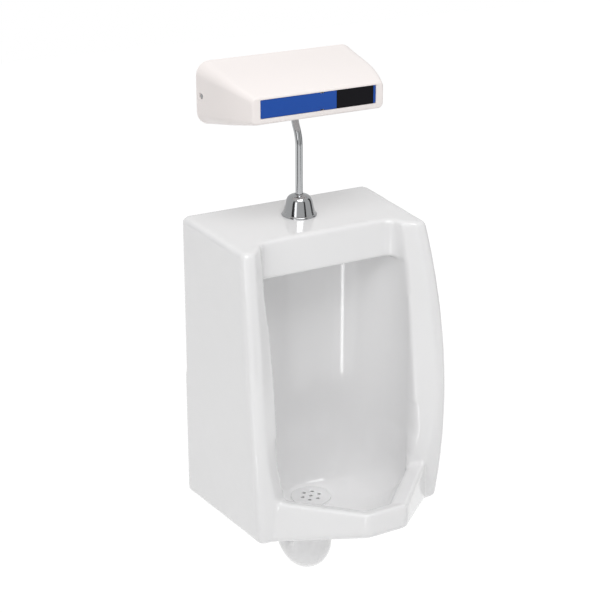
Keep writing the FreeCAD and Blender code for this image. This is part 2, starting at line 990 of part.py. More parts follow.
def is_crease(edge, corner):
    """Upright edges at the lip's two front corners."""
    box = edge.BoundBox
    upright = box.ZLength > 10.0 and box.XLength < 0.1 and box.YLength < 0.1
    return upright and abs(box.YMin - corner.y) < 0.1


def is_lip_foot(edge, join_y):
    """Edges round the underside of the lip that stand in front of the wings."""
    box = edge.BoundBox
    below = box.ZMax < TOP - float(s.rim_drop) - 10.0
    return below and box.YMax < join_y + 0.1 and box.YLength + box.XLength > 1.0


def trap(radius, outlet_radius):
    """Down leg, return bend, up leg and outlet of the trap as one round body."""
    down = -float(s.trap_leg_depth)
    turn = float(s.trap_turn_r)
    low = TOP - float(s.trap_low_drop) + float(s.trap_r) + turn
    up = down + 2 * turn
    out_z = TOP - float(s.outlet_drop)
    start = TOP - float(s.floor_drop) - 4.0
    leg = Part.makeCylinder(radius, start - low, Vector(0, down, low))
    rise = Part.makeCylinder(radius, out_z - low, Vector(0, up, low))
    section = Part.Face(Part.Wire(Part.makeCircle(radius, Vector(0, down, low), Vector(0, 0, 1))))
    bottom = section.revolve(Vector(0, down + turn, low), Vector(1, 0, 0), 180)
    corner = Part.makeSphere(radius, Vector(0, up, out_z))
    spigot = Part.makeCylinder(outlet_radius, -up, Vector(0, up, out_z), Vector(0, 1, 0))
    return leg.fuse([rise, bottom, corner, spigot])


def chamber():
    """The flush chamber under the top, behind the apron."""
    top = TOP - float(s.chamber_drop)
    low = TOP - float(s.apron_drop - s.china_wall)
    return chamber_block(0.0, low, top)


def chamber_block(grow, low, high):
    """A slab with the chamber's plan: straight behind the apron and round at the back."""
    front = -float(s.apron_depth - s.apron_wall)
    half = float(s.chamber_half) + grow
    start = Vector(half, front, low)
    end = Vector(-half, front, low)
    arc = Part.Arc(start, Vector(0, grow - float(s.chamber_back), low), end).toShape()
    return Part.Face(Part.Wire([arc, Part.makeLine(end, start)])).extrude(Vector(0, 0, high - low))


def upright(radius, x, y, low, high):
    return Part.makeCylinder(radius, high - low, Vector(x, y, low))


def hanger_lugs():
    """Ledges under the china's top that drop onto the hanger hooks, and the slots cut up into them."""
    half_w = float(s.lug_w) / 2
    ledge = float(s.hanger_shelf_z + s.lug_gap)
    back = -float(s.hanger_t + s.lug_gap)
    front = -float(s.lug_depth)
    gap = float(s.hook_gap)
    slot_half = float(s.hanger_w) / 2 + gap
    reach = float(s.hanger_reach)
    solid = []
    slots = []
    for side in (-1, 1):
        middle = side * float(s.hanger_half)
        corner = Vector(middle - half_w, front, ledge)
        solid.append(Part.makeBox(2 * half_w, back - front, TOP - float(s.china_wall) + 1.0 - ledge, corner))
        deep = float(s.hanger_hook) + gap - ledge + 1.0
        slot = Vector(middle - slot_half, -reach - gap, ledge - 1.0)
        slots.append(Part.makeBox(2 * slot_half, float(s.hanger_t) + 2 * gap, deep, slot))
    return solid, slots


def lower_lugs():
    """Ears inside the side panels with a hole for a wall screw."""
    wall = float(s.china_wall)
    high = float(s.lower_lug_h)
    wide = float(s.lower_lug_w)
    solid = []
    holes = []
    z = TOP - float(s.lower_lug_drop)
    for side in (-1, 1):
        middle = side * float(s.lower_lug_half)
        outward = back_half(float(s.lower_lug_drop)) - wall / 2
        low = min(middle - wide / 2, -outward) if side < 0 else middle - wide / 2
        span = outward - float(s.lower_lug_half) + wide / 2
        solid.append(Part.makeBox(span, wall, high, Vector(low, -wall, z - high / 2)))
        hole = Part.makeCylinder(float(s.lower_hole_r), 3 * wall, Vector(middle, -2 * wall, z), Vector(0, 1, 0))
        holes.append(hole)
    return solid, holes


def china():
    """The whole china piece: shell, bowl, chamber, lip and trap."""
    wall = float(s.china_wall)
    rim = float(s.rim_drop)
    form = round_outer_edges(outer_form())
    shell = form.cut(hollow_form())
    lug_solid, lug_slots = hanger_lugs()
    ear_solid, ear_holes = lower_lugs()
    neck_out, bowl_out = basin(wall)
    bowl = niche(float(s.brow_drop) / 2, float(s.basin_drop), wall).fuse([neck_out, bowl_out])
    room = chamber_block(wall, TOP - float(s.apron_drop), TOP - wall / 2)
    inside = bowl.fuse([room] + lug_solid + ear_solid).common(form)
    waste = trap(float(s.trap_r), float(s.outlet_r - s.outlet_step))
    out_z = TOP - float(s.outlet_drop)
    land = Part.makeCylinder(
        float(s.outlet_r), float(s.outlet_land), Vector(0, -float(s.outlet_land), out_z), Vector(0, 1, 0)
    )
    body = shell.fuse([inside, bowl_out, lip(), waste, land])
    band, lid = rim_bevel()
    neck, bowl_in = basin()
    over = 30.0
    spot_z = TOP + spot_level()
    spud = (0.0, -float(s.spud_depth))
    seat_low = TOP - float(s.floor_drop + s.strainer_t)
    seat = float(s.strainer_r + s.strainer_gap)
    bore = float(s.trap_bore_r)
    cuts = [
        mouth(),
        wing_bevels(-over, rim),
        niche(float(s.apron_drop), float(s.basin_drop)),
        lid,
        band,
        neck,
        bowl_in,
        chamber(),
        trap(bore, bore),
        upright(float(s.spot_face_r), spud[0], spud[1], spot_z, spot_z + over),
        upright(float(s.spud_hole_r), spud[0], spud[1], spot_z - over, spot_z + 1.0),
        upright(seat, 0.0, -float(s.strainer_depth), seat_low, seat_low + over),
        upright(bore, 0.0, -float(s.trap_leg_depth), seat_low - over, seat_low + 1.0),
    ]
    for tool in cuts + lug_slots + ear_holes:
        body = body.cut(tool)
    return solid_feature("urinal_bowl", body)


def spot_level():
    """Height of the flat under the escutcheon, against the china's top at the wall."""
    edge = float(s.spud_depth) + float(s.spot_face_r)
    return -float(s.top_fall) * edge / float(s.brow_depth)


def strainer():
    """The round grid over the waste: one hole in the middle and a ring of holes."""
    radius = s.strainer_hole_r
    count = round(float(s.strainer_holes))
    circles = [((0, 0), s.strainer_r), ((0, 0), radius)]
    for index in range(count):
        angle = 2 * math.pi * index / count
        centre = (s.strainer_ring_r * math.cos(angle), s.strainer_ring_r * math.sin(angle))
        circles.append((centre, radius))
    at = (0, -s.strainer_depth, s.china_top - s.floor_drop - s.strainer_t)
    padded("strainer", "XY_Plane", [], s.strainer_t, at, circles)


# ---------------------------------------------------------------- wall fixings


def side_spots(half):
    return [(-half, 0, 0), (half, 0, 0)]


def hangers():
    """Two bent steel brackets on the wall that the china's ledges drop onto."""
    profile = [
        (0, -s.hanger_low),
        (0, s.hanger_shelf_z),
        (-s.hanger_reach + s.hanger_t, s.hanger_shelf_z),
        (-s.hanger_reach + s.hanger_t, s.hanger_hook),
        (-s.hanger_reach, s.hanger_hook),
        (-s.hanger_reach, s.hanger_shelf_z - s.hanger_t),
        (-s.hanger_t, s.hanger_shelf_z - s.hanger_t),
        (-s.hanger_t, -s.hanger_low),
    ]
    plate = padded("hanger_blank", "YZ_Plane", [profile], s.hanger_w, (-s.hanger_w / 2, 0, 0), keep=False)
    holes = []
    for index, z in enumerate((-s.hanger_screw_pitch / 2, s.hanger_screw_pitch / 2)):
        at = (0, 2 * s.hanger_t, z)
        holes.append(cylinder("hanger_hole_" + str(index), s.hanger_hole_r, 4 * s.hanger_t, at, "-y"))
    bracket = less("hanger_bracket", plate, holes)
    copies("hanger_brackets", bracket, side_spots(s.hanger_half))


def round_screw(label, radius, head_r, head_h, grip, length, at, towards):
    """A screw along its own Z, its head's underside at the given place, its neck as long as the grip."""
    neck = radius + s.screw_neck
    profile = [
        (0, -length),
        (radius * 0.5, -length),
        (radius, -length + radius * 2),
        (radius, -grip),
        (neck, -grip),
        (neck, 0),
        (head_r, 0),
        (head_r, head_h * 0.5),
        (head_r * 0.7, head_h),
        (0, head_h),
    ]
    return turned(label, profile, at, towards, keep=False)


def hanger_screws():
    screw = round_screw(
        "hanger_screw", s.screw_r, s.screw_head_r, s.screw_head_h, s.hanger_t, s.screw_length,
        (0, -s.hanger_t, 0), "-y",
    )
    spots = []
    for side in (-1, 1):
        for level in (-1, 1):
            spots.append((side * s.hanger_half, 0, level * s.hanger_screw_pitch / 2))
    copies("hanger_screws", screw, spots)


def lower_fixings():
    """Hexagon screws and washers that hold the china's foot to the wall."""
    z = s.china_top - s.lower_lug_drop
    washer = padded(
        "lower_washer", "XZ_Plane", [], s.lag_washer_t, (0, -s.china_wall, z),
        [((0, 0), s.lag_washer_r), ((0, 0), s.lower_hole_r)], keep=False,
    )
    copies("wall_washers", washer, side_spots(s.lower_lug_half))
    seat = s.china_wall + s.lag_washer_t
    head = padded(
        "lower_head", "XZ_Plane", [hexagon(s.lag_head_r * 2)], s.lag_head_h, (0, -seat, z), keep=False
    )
    shank = cylinder("lower_shank", s.lag_r, s.lag_length, (0, s.lag_length - seat, z), "-y")
    neck = cylinder("lower_neck", s.lag_r + s.screw_neck, seat, (0, 0, z), "-y")
    copies("wall_screws", joined("lower_screw", [head, shank, neck]), side_spots(s.lower_lug_half))


# ---------------------------------------------------------------- spud, pipe and escutcheon


def spot_rise():
    """Height of the flat on the china's top, as a value in step with the china."""
    edge = s.spud_depth + s.spot_face_r
    return s.china_top - s.top_fall * edge / s.brow_depth


def spud():
    """The brass spud through the china's top, with its gasket, washer and locknut."""
    deck = spot_rise()
    under = s.china_top - s.chamber_drop
    at = (0, -s.spud_depth, 0)
    tube = s.spud_tube_r - s.thread_gap
    low = under - s.spud_gasket_t
    bore = s.pipe_r + s.pipe_gap
    profile = [
        (bore, low - s.spud_flange_t),
        (s.spud_flange_r, low - s.spud_flange_t),
        (s.spud_flange_r, low),
        (tube, low),
        (tube, deck + s.spud_top_rise),
        (s.spud_cup_r, deck + s.spud_top_rise),
        (s.spud_cup_r, deck + s.spud_cup_rise),
        (bore, deck + s.spud_cup_rise),
    ]
    turned("spud", profile, at)
    ring("spud_gasket", s.spud_tube_r, s.spud_flange_r, low, under, at)
    ring("spud_washer", s.spud_tube_r, s.spud_washer_r, deck, deck + s.spud_washer_t, at)
    nut_low = deck + s.spud_washer_t
    hex_ring("spud_locknut", s.locknut_af, s.spud_tube_r, s.locknut_h, (0, -s.spud_depth, nut_low))
    gland_low = nut_low + s.locknut_h + s.gland_gap
    step = gland_low + s.gland_h - s.gland_lip
    blank = hex_ring(
        "gland_blank", s.gland_af, bore, s.gland_h, (0, -s.spud_depth, gland_low), keep=False
    )
    room = cylinder("gland_room", s.spud_tube_r, step - gland_low, (0, -s.spud_depth, gland_low))
    less("pipe_gland_nut", blank, [room], keep=True)
    ring("pipe_packing", s.pipe_r + s.pipe_gap / 3, s.spud_cup_r - s.thread_gap, deck + s.spud_cup_rise, step, at)


def hex_ring(label, across_flats, bore, height, at, keep=True):
    """A hexagon with a round hole through it, standing up."""
    return padded(label, "XY_Plane", [hexagon(across_flats)], height, at, [((0, 0), bore)], keep=keep)


def ring(label, inner, outer, low, high, at, towards="+z", keep=True):
    """A plain round ring between two heights along its own axis."""
    profile = [(inner, low), (outer, low), (outer, high), (inner, high)]
    return turned(label, profile, at, towards, keep)


def escutcheon():
    """The chrome bell over the spud, resting on the china round the pipe."""
    deck = spot_rise()
    wall = s.bell_wall
    hole = s.pipe_r + s.bell_pipe_gap
    profile = [
        (s.bell_base_r - wall, 0),
        (s.bell_base_r, 0),
        (s.bell_base_r, s.bell_rim_h),
        (s.bell_skirt_r, s.bell_rim_h + wall),
        (s.bell_skirt_r, s.bell_skirt_h),
        (s.bell_waist_r, s.bell_waist_h),
        (s.bell_crown_r, s.bell_crown_h),
        (hole + wall, s.bell_h),
        (hole, s.bell_h),
        (hole, s.bell_crown_h - wall),
        (s.bell_crown_r - wall / 2, s.bell_crown_h - wall),
        (s.bell_waist_r - wall, s.bell_waist_h - wall / 2),
        (s.bell_skirt_r - wall, s.bell_skirt_h),
        (s.bell_skirt_r - wall, s.bell_rim_h),
        (s.bell_base_r - wall, s.bell_rim_h - wall),
    ]
    turned("bell_escutcheon", profile, (0, -s.spud_depth, deck))


def flush_pipe():
    """The chromed tube: straight up, two equal bends back towards the wall, straight into the valve."""
    offset = s.spud_depth - s.valve_depth
    radius = s.pipe_bend_r
    level = 1.0 - float(offset) / (2 * float(radius))
    sway = math.sqrt(1.0 - level * level)
    half = math.acos(level) / 2
    foot = spot_rise() + s.spud_cup_rise - s.pipe_foot_in
    bend = s.china_top + s.pipe_bend_rise
    top = s.china_top + s.valve_rise + s.pipe_top_in
    front = -s.spud_depth
    back = -s.valve_depth
    centre_low = Vector(0, float(front + radius), float(bend))
    rise = 2 * float(radius) * sway
    centre_high = Vector(0, float(back - radius), float(bend) + rise)
    first = Vector(0, float(front), float(bend))
    joint = Vector(0, (float(front) + float(back)) / 2, float(bend) + rise / 2)
    last = Vector(0, float(back), float(bend) + rise)
    reach = float(radius)
    low_mid = centre_low + Vector(0, -math.cos(half), math.sin(half)) * reach
    high_mid = centre_high + Vector(0, math.cos(half), -math.sin(half)) * reach
    start = Vector(0, float(front), float(foot))
    path = Part.Wire([
        Part.makeLine(start, first),
        Part.Arc(first, low_mid, joint).toShape(),
        Part.Arc(joint, high_mid, last).toShape(),
        Part.makeLine(last, Vector(0, float(back), float(top))),
    ])
    outside = swept(path, float(s.pipe_r), start)
    inside = swept(path, float(s.pipe_r - s.pipe_wall), start)
    solid_feature("flush_pipe", outside.cut(inside))


def swept(path, radius, start, way=None):
    """A round bar of the given radius along a path."""
    section = Part.Wire(Part.makeCircle(radius, start, way or Vector(0, 0, 1)))
    return path.makePipeShell([section], True, True)


# ---------------------------------------------------------------- flush valve


def valve_point(out=0.0, height=0.0):
    """A point on the valve's upright plane: out to the right, up from the foot of the tail."""
    return (out, -s.valve_depth, s.china_top + s.valve_rise + height)


def bar(name, radius, start_out, end_out, height, radius_end=None):
    """A round bar to the right along X, from one distance off the valve's axis to another."""
    return cylinder(name, radius, size(end_out) - size(start_out), valve_point(start_out, height), "+x")


def valve_body():
    """The cast body: outlet tail, piston cylinder, pilot arm, stop chamber and supply boss."""
    bore = s.piston_r + s.piston_fit
    core = turned(
        "valve_core",
        [
            (s.outlet_bore_r, 0),
            (s.tail_r, 0),
            (s.tail_r, s.tail_h),
            (s.valve_r, s.tail_h),
            (s.valve_r, s.valve_h),
            (bore, s.valve_h),
            (bore, s.channel_h),
            (s.seat_r, s.channel_h),
            (s.seat_r, s.seat_h),
            (s.outlet_bore_r, s.seat_h),
        ],
        valve_point(),
        keep=False,
    )
    into = bore + 1.0
    arm = bar("pilot_arm", s.pilot_arm_r, -s.solenoid_out, -into, s.pilot_arm_z)
    pot = cylinder("pilot_pot", s.pilot_r, s.pilot_high - s.pilot_low, valve_point(-s.solenoid_out, s.pilot_low))
    stop = bar("stop_tube", s.stop_r, into, s.stop_end, s.stop_z)
    x, y, z = valve_point(s.supply_out, s.stop_z)
    boss = cylinder("supply_boss", s.supply_boss_r, s.valve_depth - s.supply_boss_depth, (x, y, z), "+y")
    blank = joined("valve_casting", [core, arm, pot, stop, boss])
    pilot_hole = cylinder(
        "pilot_hole", s.core_r + s.coil_gap, s.pilot_high, valve_point(-s.solenoid_out, s.pilot_floor)
    )
    pilot_port = bar("pilot_port", s.pilot_port_r, -s.solenoid_out, -s.piston_r, s.pilot_arm_z)
    stop_bore = bar("stop_bore", s.stop_bore_r, s.stop_seat_out, s.stop_end + 1.0, s.stop_z)
    stop_port = bar("stop_port", s.stop_port_r, s.piston_r, s.stop_seat_out + 1.0, s.stop_z)
    seat = s.nipple_seat_depth
    thread = cylinder("supply_thread", s.nipple_r + s.thread_gap, seat, (x, -seat, z), "+y")
    port = cylinder("supply_port", s.supply_port_r, s.valve_depth - seat + 1.0, (x, y, z), "+y")
    tools = [pilot_hole, pilot_port, stop_bore, stop_port, thread, port]
    less("valve_body", blank, tools, keep=True)


def valve_cap():
    top = s.valve_h
    skirt = s.valve_r + s.thread_gap
    profile = [
        (0, top - s.cap_boss_h),
        (s.cap_boss_r, top - s.cap_boss_h),
        (s.cap_boss_r, top),
        (s.cap_seal_in, top),
        (s.cap_seal_in, top + s.cap_seal_t),
        (s.cap_seal_out, top + s.cap_seal_t),
        (s.cap_seal_out, top),
        (skirt, top),
        (skirt, top - s.cap_skirt),
        (skirt + s.cap_wall, top - s.cap_skirt),
        (skirt + s.cap_wall, top + s.cap_h),
        (0, top + s.cap_h),
    ]
    turned("valve_cap", profile, valve_point())
    ring("cap_seal", s.cap_seal_in, s.cap_seal_out, top, top + s.cap_seal_t, valve_point())


def piston_foot():
    """Height of the underside of the piston's seat washer, the valve closed."""
    return s.seat_h + s.seat_gap


def piston():
    low = piston_foot() + s.seat_washer_t
    high = low + s.piston_h
    groove = s.piston_r - s.seal_groove
    seal_low = low + s.seal_low
    profile = [
        (0, low),
        (s.piston_r, low),
        (s.piston_r, seal_low),
        (groove, seal_low),
        (groove, seal_low + s.seal_h),
        (s.piston_r, seal_low + s.seal_h),
        (s.piston_r, high),
        (s.piston_cup_r, high),
        (s.piston_cup_r, low + s.piston_floor),
        (0, low + s.piston_floor),
    ]
    turned("flush_piston", profile, valve_point())
    ring("piston_seal", groove, s.piston_r, seal_low, seal_low + s.seal_h, valve_point())
    ring("seat_washer", s.seat_washer_in, s.seat_washer_out, piston_foot(), low, valve_point())
    spring(
        "piston_spring", s.spring_r, s.spring_wire_r, low + s.piston_floor, s.valve_h, valve_point()
    )


def spring(label, radius, wire, low, high, at):
    """A coil spring as the sleeve that it fills; its turns are too fine to matter to its neighbours."""
    ring(label, radius - wire, radius + wire, low, high, at)


def coupling():
    """The nut and packing that seal the pipe to the valve's tail."""
    hole = s.pipe_r + s.pipe_gap
    packing_low = -s.outlet_packing_t
    low = packing_low - s.coupling_lip
    blank = hex_ring("coupling_blank", s.coupling_af, hole, s.coupling_h, valve_point(0, low), keep=False)
    room = cylinder(
        "coupling_room", s.tail_r + s.thread_gap, s.coupling_h, valve_point(0, packing_low)
    )
    less("outlet_coupling_nut", blank, [room], keep=True)
    ring("outlet_packing", s.pipe_r + s.pipe_gap / 3, s.tail_r, packing_low, 0, valve_point())


def solenoid():
    at = valve_point(-s.solenoid_out)
    bore = s.plunger_r + s.plunger_fit
    tube = [
        (bore, s.core_low),
        (s.core_r, s.core_low),
        (s.core_r, s.core_top),
        (0, s.core_top),
        (0, s.core_top - s.core_lid),
        (bore, s.core_top - s.core_lid),
    ]
    turned("solenoid_core_tube", tube, at)
    low = s.pilot_high
    ring("solenoid_coil", s.core_r + s.coil_gap, s.coil_r, low, low + s.coil_h, at)
    foot = s.pilot_floor + s.seat_gap
    rod = [(0, foot), (s.plunger_r, foot), (s.plunger_r, foot + s.plunger_h), (0, foot + s.plunger_h)]
    turned("solenoid_plunger", rod, at)
    spring(
        "plunger_spring", s.plunger_spring_r, s.plunger_spring_wire_r,
        foot + s.plunger_h, s.core_top - s.core_lid, at,
    )


def stop_valve():
    """The plug on its threaded stem, the spindle that drives it, the packing and the gland nut."""
    at = valve_point(0, s.stop_z)
    stem = s.plug_out + s.plug_head_t
    plug = [
        (0, s.plug_out),
        (s.plug_head_r, s.plug_out),
        (s.plug_head_r, stem),
        (s.plug_stem_r, stem),
        (s.plug_stem_r, stem + s.plug_stem),
        (0, stem + s.plug_stem),
    ]
    turned("stop_plug", plug, at, "+x")
    start = s.spindle_out
    collar = start + s.spindle_collar_t
    end = start + s.spindle_length
    bore = s.plug_stem_r + s.spindle_fit
    spindle = turned(
        "spindle_blank",
        [
            (bore, start),
            (s.spindle_collar_r, start),
            (s.spindle_collar_r, collar),
            (s.spindle_r, collar),
            (s.spindle_r, end),
            (0, end),
            (0, start + s.spindle_bore),
            (bore, start + s.spindle_bore),
        ],
        at, "+x", keep=False,
    )
    x, y, z = valve_point(end, s.stop_z)
    half = s.spindle_slot_w / 2
    slot = block(
        "spindle_slot",
        (x - s.spindle_slot_deep, y - s.spindle_r - 1.0, z - half),
        (x + 1.0, y + s.spindle_r + 1.0, z + half),
    )
    less("stop_spindle", spindle, [slot], keep=True)
    nose = s.stop_end - s.gland_nose
    hole = s.spindle_r + s.spindle_fit
    outside = s.stop_bore_r - s.thread_gap
    ring("stop_packing", hole, outside, collar + s.packing_gap, nose, at, "+x")
    head = padded(
        "gland_head", "YZ_Plane", [hexagon(s.gland_nut_af)], s.gland_nut_t,
        valve_point(s.stop_end, s.stop_z), keep=False,
    )
    neck = bar("gland_neck", outside, nose, s.stop_end, s.stop_z)
    bore = bar("gland_bore", hole, nose - 1.0, s.stop_end + s.gland_nut_t + 1.0, s.stop_z)
    less("stop_gland_nut", joined("gland_solid", [head, neck]), [bore], keep=True)


def supply():
    x, _, z = valve_point(s.supply_out, s.stop_z)
    nipple = [
        (s.nipple_bore_r, -s.nipple_free),
        (s.nipple_r, -s.nipple_free),
        (s.nipple_r, 0),
        (s.nipple_collar_r, 0),
        (s.nipple_collar_r, s.nipple_collar_t),
        (s.nipple_r, s.nipple_collar_t),
        (s.nipple_r, s.nipple_seat_depth),
        (s.nipple_bore_r, s.nipple_seat_depth),
    ]
    turned("supply_nipple", nipple, (x, 0, z), "-y")
    outer = s.nipple_bore_r - s.filter_gap
    inner = outer - s.filter_wall
    end = s.nipple_seat_depth
    basket = [
        (0, end - s.filter_length),
        (outer, end - s.filter_length),
        (outer, end),
        (inner, end),
        (inner, end - s.filter_length + s.filter_wall),
        (0, end - s.filter_length + s.filter_wall),
    ]
    turned("inlet_filter", basket, (x, 0, z), "-y")


# ---------------------------------------------------------------- sensor flush box


def box_z(rise):
    return s.china_top + rise


def wedge(name, body, inset, front, back):
    """A tapering block of the cover's shape, drawn in by an inset, between two distances from the wall."""
    part = body.newObject("PartDesign::AdditiveWedge", name)
    sizes = {
        "Ymin": -front,
        "Ymax": back,
        "Xmin": -s.box_front_half + inset,
        "Xmax": s.box_front_half - inset,
        "Zmin": box_z(s.box_front_rise) + inset,
        "Zmax": box_z(s.box_front_rise + s.box_front_h) - inset,
        "X2min": -s.box_back_half + inset,
        "X2max": s.box_back_half - inset,
        "Z2min": box_z(s.box_rise) + inset,
        "Z2max": box_z(s.box_rise + s.box_back_h) - inset,
    }
    for key, value in sizes.items():
        value = size(value)
        setattr(part, key, value.value)
        part.setExpression(key, value.text)
    DOC.recompute()
    return part


def softened(body, name, base, radius, chosen):
    """Round the edges of a feature that the test picks."""
    edges = []
    for index, edge in enumerate(base.Shape.Edges, start=1):
        if chosen(edge.BoundBox):
            edges.append("Edge" + str(index))
    item = body.newObject("PartDesign::Fillet", name)
    item.Base = (base, edges)
    item.Radius = float(radius)
    item.setExpression("Radius", radius.text)
    DOC.recompute()
    return item


def cover():
    """The plastic cover: a tapering hood, hollow, with a recess in front for the strip."""
    deep = float(s.box_depth)
    body = new_body("cover_hood")
    hood = wedge("cover_block", body, size(0), s.box_depth, size(0))
    corners = softened(body, "cover_corners", hood, s.box_corner_r, lambda box: box.YLength > deep / 2)
    softened(body, "cover_rim", corners, s.box_edge_round, lambda box: box.YMax < -deep + 0.01)
    room = new_body("cover_room")
    inside = wedge("room_block", room, s.box_wall, s.box_depth - s.box_front_wall, s.box_wall)
    softened(
        room, "room_corners", inside, s.box_corner_r - s.box_wall, lambda box: box.YLength > deep / 2
    )
    low = box_z(s.fascia_rise)
    gap = s.fascia_gap
    recess = block(
        "fascia_recess",
        (-s.fascia_half - gap, -s.box_depth - 1.0, low - gap),
        (s.fascia_half + gap, -s.box_depth + s.fascia_t + s.fascia_inset, low + s.fascia_h + gap),
    )
    rebate = s.window_rebate
    sight = block(
        "sensor_opening",
        (s.window_from + rebate, -s.box_depth, low + rebate),
        (s.window_to - rebate, -s.box_depth + 2 * s.box_front_wall, low + s.fascia_h - rebate),
    )
    slot_low = box_z(s.box_rise) - 1.0
    slot_high = box_z(s.box_front_rise) + s.box_wall
    slot = block(
        "pipe_slot", (-s.pipe_slot_half, -s.valve_depth, slot_low), (s.pipe_slot_half, 1.0, slot_high)
    )
    slot_end = cylinder("pipe_slot_end", s.pipe_slot_half, slot_high - slot_low, (0, -s.valve_depth, slot_low))
    tools = [recess, sight, slot, slot_end]
    shell = less("cover_shell", body, [room])
    bosses = []
    z = box_z(s.cover_screw_rise)
    start = s.plate_half + s.cover_boss_gap
    reach = s.cover_recess_half - start
    for side, way in ((-1, "-x"), (1, "+x")):
        tag = "left" if side < 0 else "right"
        at = (side * start, -s.cover_screw_depth, z)
        bosses.append(cylinder("cover_boss_" + tag, s.cover_boss_r, reach, at, way))
        tools.append(cylinder("cover_hole_" + tag, s.cover_hole_r, 2 * reach, at, way))
        seat = (side * s.cover_recess_half, -s.cover_screw_depth, z)
        tools.append(cylinder("cover_recess_" + tag, s.cover_recess_r, 2 * reach, seat, way))
    less("box_cover", joined("cover_solid", [shell] + bosses), tools, keep=True)


def cover_screws():
    z = box_z(s.cover_screw_rise)
    twins = []
    for side, way in ((-1, "-x"), (1, "+x")):
        at = (side * s.cover_recess_half, -s.cover_screw_depth, z)
        tag = "left" if side < 0 else "right"
        screw = round_screw(
            "cover_screw_" + tag, s.cover_screw_r, s.cover_head_r, s.cover_head_h, s.box_wall,
            s.cover_screw_length, at, way,
        )
        twins.append(screw)
    DOC.recompute()
    solid_feature("cover_screws", Part.makeCompound([screw.Shape for screw in twins]))


def fascia():
    """The coloured strip, with its pry notches and the seat for the dark window."""
    low = box_z(s.fascia_rise)
    high = low + s.fascia_h
    edge = s.notch_from + s.notch_w
    corner = s.fascia_corner
    near = corner * (1.0 - math.sqrt(0.5))
    half = s.fascia_half
    outline = [
        (-half + corner, low, (-half + near, low + near)),
        (s.notch_from, low),
        (s.notch_from, low + s.notch_h),
        (edge, low + s.notch_h),
        (edge, low),
        (half - corner, low),
        (half, low + corner, (half - near, low + near)),
        (half, high - corner),
        (half - corner, high, (half - near, high - near)),
        (edge, high),
        (edge, high - s.notch_h),
        (s.notch_from, high - s.notch_h),
        (s.notch_from, high),
        (-half + corner, high),
        (-half, high - corner, (-half + near, high - near)),
        (-half, low + corner),
    ]
    face = -s.box_depth + s.fascia_inset
    strip = padded("strip_blank", "XZ_Plane", [outline], s.fascia_t, (0, face + s.fascia_t, 0), keep=False)
    gap = s.window_gap
    rebate = s.window_rebate
    seat = block(
        "window_seat",
        (s.window_from - gap, face - 1.0, low - 1.0),
        (s.window_to + gap, face + s.window_t, high + 1.0),
    )
    sight = block(
        "window_sight",
        (s.window_from + rebate, face, low + rebate),
        (s.window_to - rebate, face + 2 * s.fascia_t, high - rebate),
    )
    less("fascia_strip", strip, [seat, sight], keep=True)
    pane = block("sensor_pane", (s.window_from, face, low), (s.window_to, face + s.window_t, high))
    pane.Label = "sensor_window"
    finish(pane)


def back_plate():
    """The plate on the wall that carries the cover: holes, a supply hole and two folded tabs."""
    low = box_z(s.plate_rise)
    circles = []
    for spot in plate_spots():
        circles.append(((spot[0], spot[2]), s.plate_hole_r))
    x, _, z = valve_point(s.supply_out, s.stop_z)
    circles.append(((x, z), s.nipple_hole_r))
    outline = closed_soft_rectangle(s.plate_half, low, low + s.plate_h, s.plate_corner)
    sheet = padded("plate_sheet", "XZ_Plane", [outline], s.plate_t, (0, 0, 0), circles, keep=False)
    z = box_z(s.cover_screw_rise)
    half = s.tab_h / 2
    tabs = []
    holes = []
    for side, tag in ((-1, "left"), (1, "right")):
        inner = side * s.plate_half if side < 0 else s.plate_half - s.plate_t
        tab = block(
            "plate_tab_" + tag, (inner, -s.tab_w, z - half), (inner + s.plate_t, -s.plate_t / 2, z + half)
        )
        tabs.append(tab)
        at = (inner - 1.0, -s.cover_screw_depth, z)
        holes.append(cylinder("plate_tab_hole_" + tag, s.cover_hole_r, s.plate_t + 2.0, at, "+x"))
    less("back_plate", joined("plate_folded", [sheet] + tabs), holes, keep=True)
    screw = round_screw(
        "plate_screw", s.plate_screw_r, s.plate_head_r, s.plate_head_h, s.plate_t,
        s.plate_screw_length, (0, -s.plate_t, 0), "-y",
    )
    copies("back_plate_screws", screw, plate_spots())


def plate_spots():
    low = box_z(s.plate_rise) + s.plate_screw_low
    spots = []
    for side in (-1, 1):
        for level in (0, 1):
            spots.append((side * s.plate_screw_half, 0, low + level * s.plate_screw_pitch))
    return spots


# ---------------------------------------------------------------- electronics


def sensor_module():
    """The open fronted case behind the window, its board and the two eyes."""
    middle = box_z(s.fascia_rise + s.fascia_h / 2)
    low = middle - s.module_h / 2
    high = middle + s.module_h / 2
    front = -s.box_depth + s.box_front_wall
    back = front + s.module_depth
    wall = s.module_wall
    case = block("module_block", (s.module_from, front, low), (s.module_to, back, high))
    room = block(
        "module_room",
        (s.module_from + wall, front - 1.0, low + wall),
        (s.module_to - wall, back - wall, high - wall),
    )
    less("sensor_module_case", case, [room], keep=True)
    gap = s.board_gap
    board_back = back - wall
    board_face = board_back - s.board_t
    board = block(
        "board_sheet",
        (s.module_from + wall + gap, board_face, low + wall + gap),
        (s.module_to - wall - gap, board_back, high - wall - gap),
    )
    chip_x = (s.emitter_x + s.receiver_x) / 2
    half = s.chip / 2
    chip = block(
        "board_chip",
        (chip_x - half, board_face - s.chip_t, middle - half),
        (chip_x + half, board_face, middle + half),
    )
    joined("circuit_board", [board, chip], keep=True)
    for label, x in (("infrared_emitter", s.emitter_x), ("infrared_receiver", s.receiver_x)):
        eye = [
            (0, 0),
            (s.eye_r, 0),
            (s.eye_r, s.eye_length - s.eye_r),
            (s.eye_r * 0.7, s.eye_length - s.eye_r * 0.3),
            (0, s.eye_length),
        ]
        turned(label, eye, (x, board_face, middle), "-y")


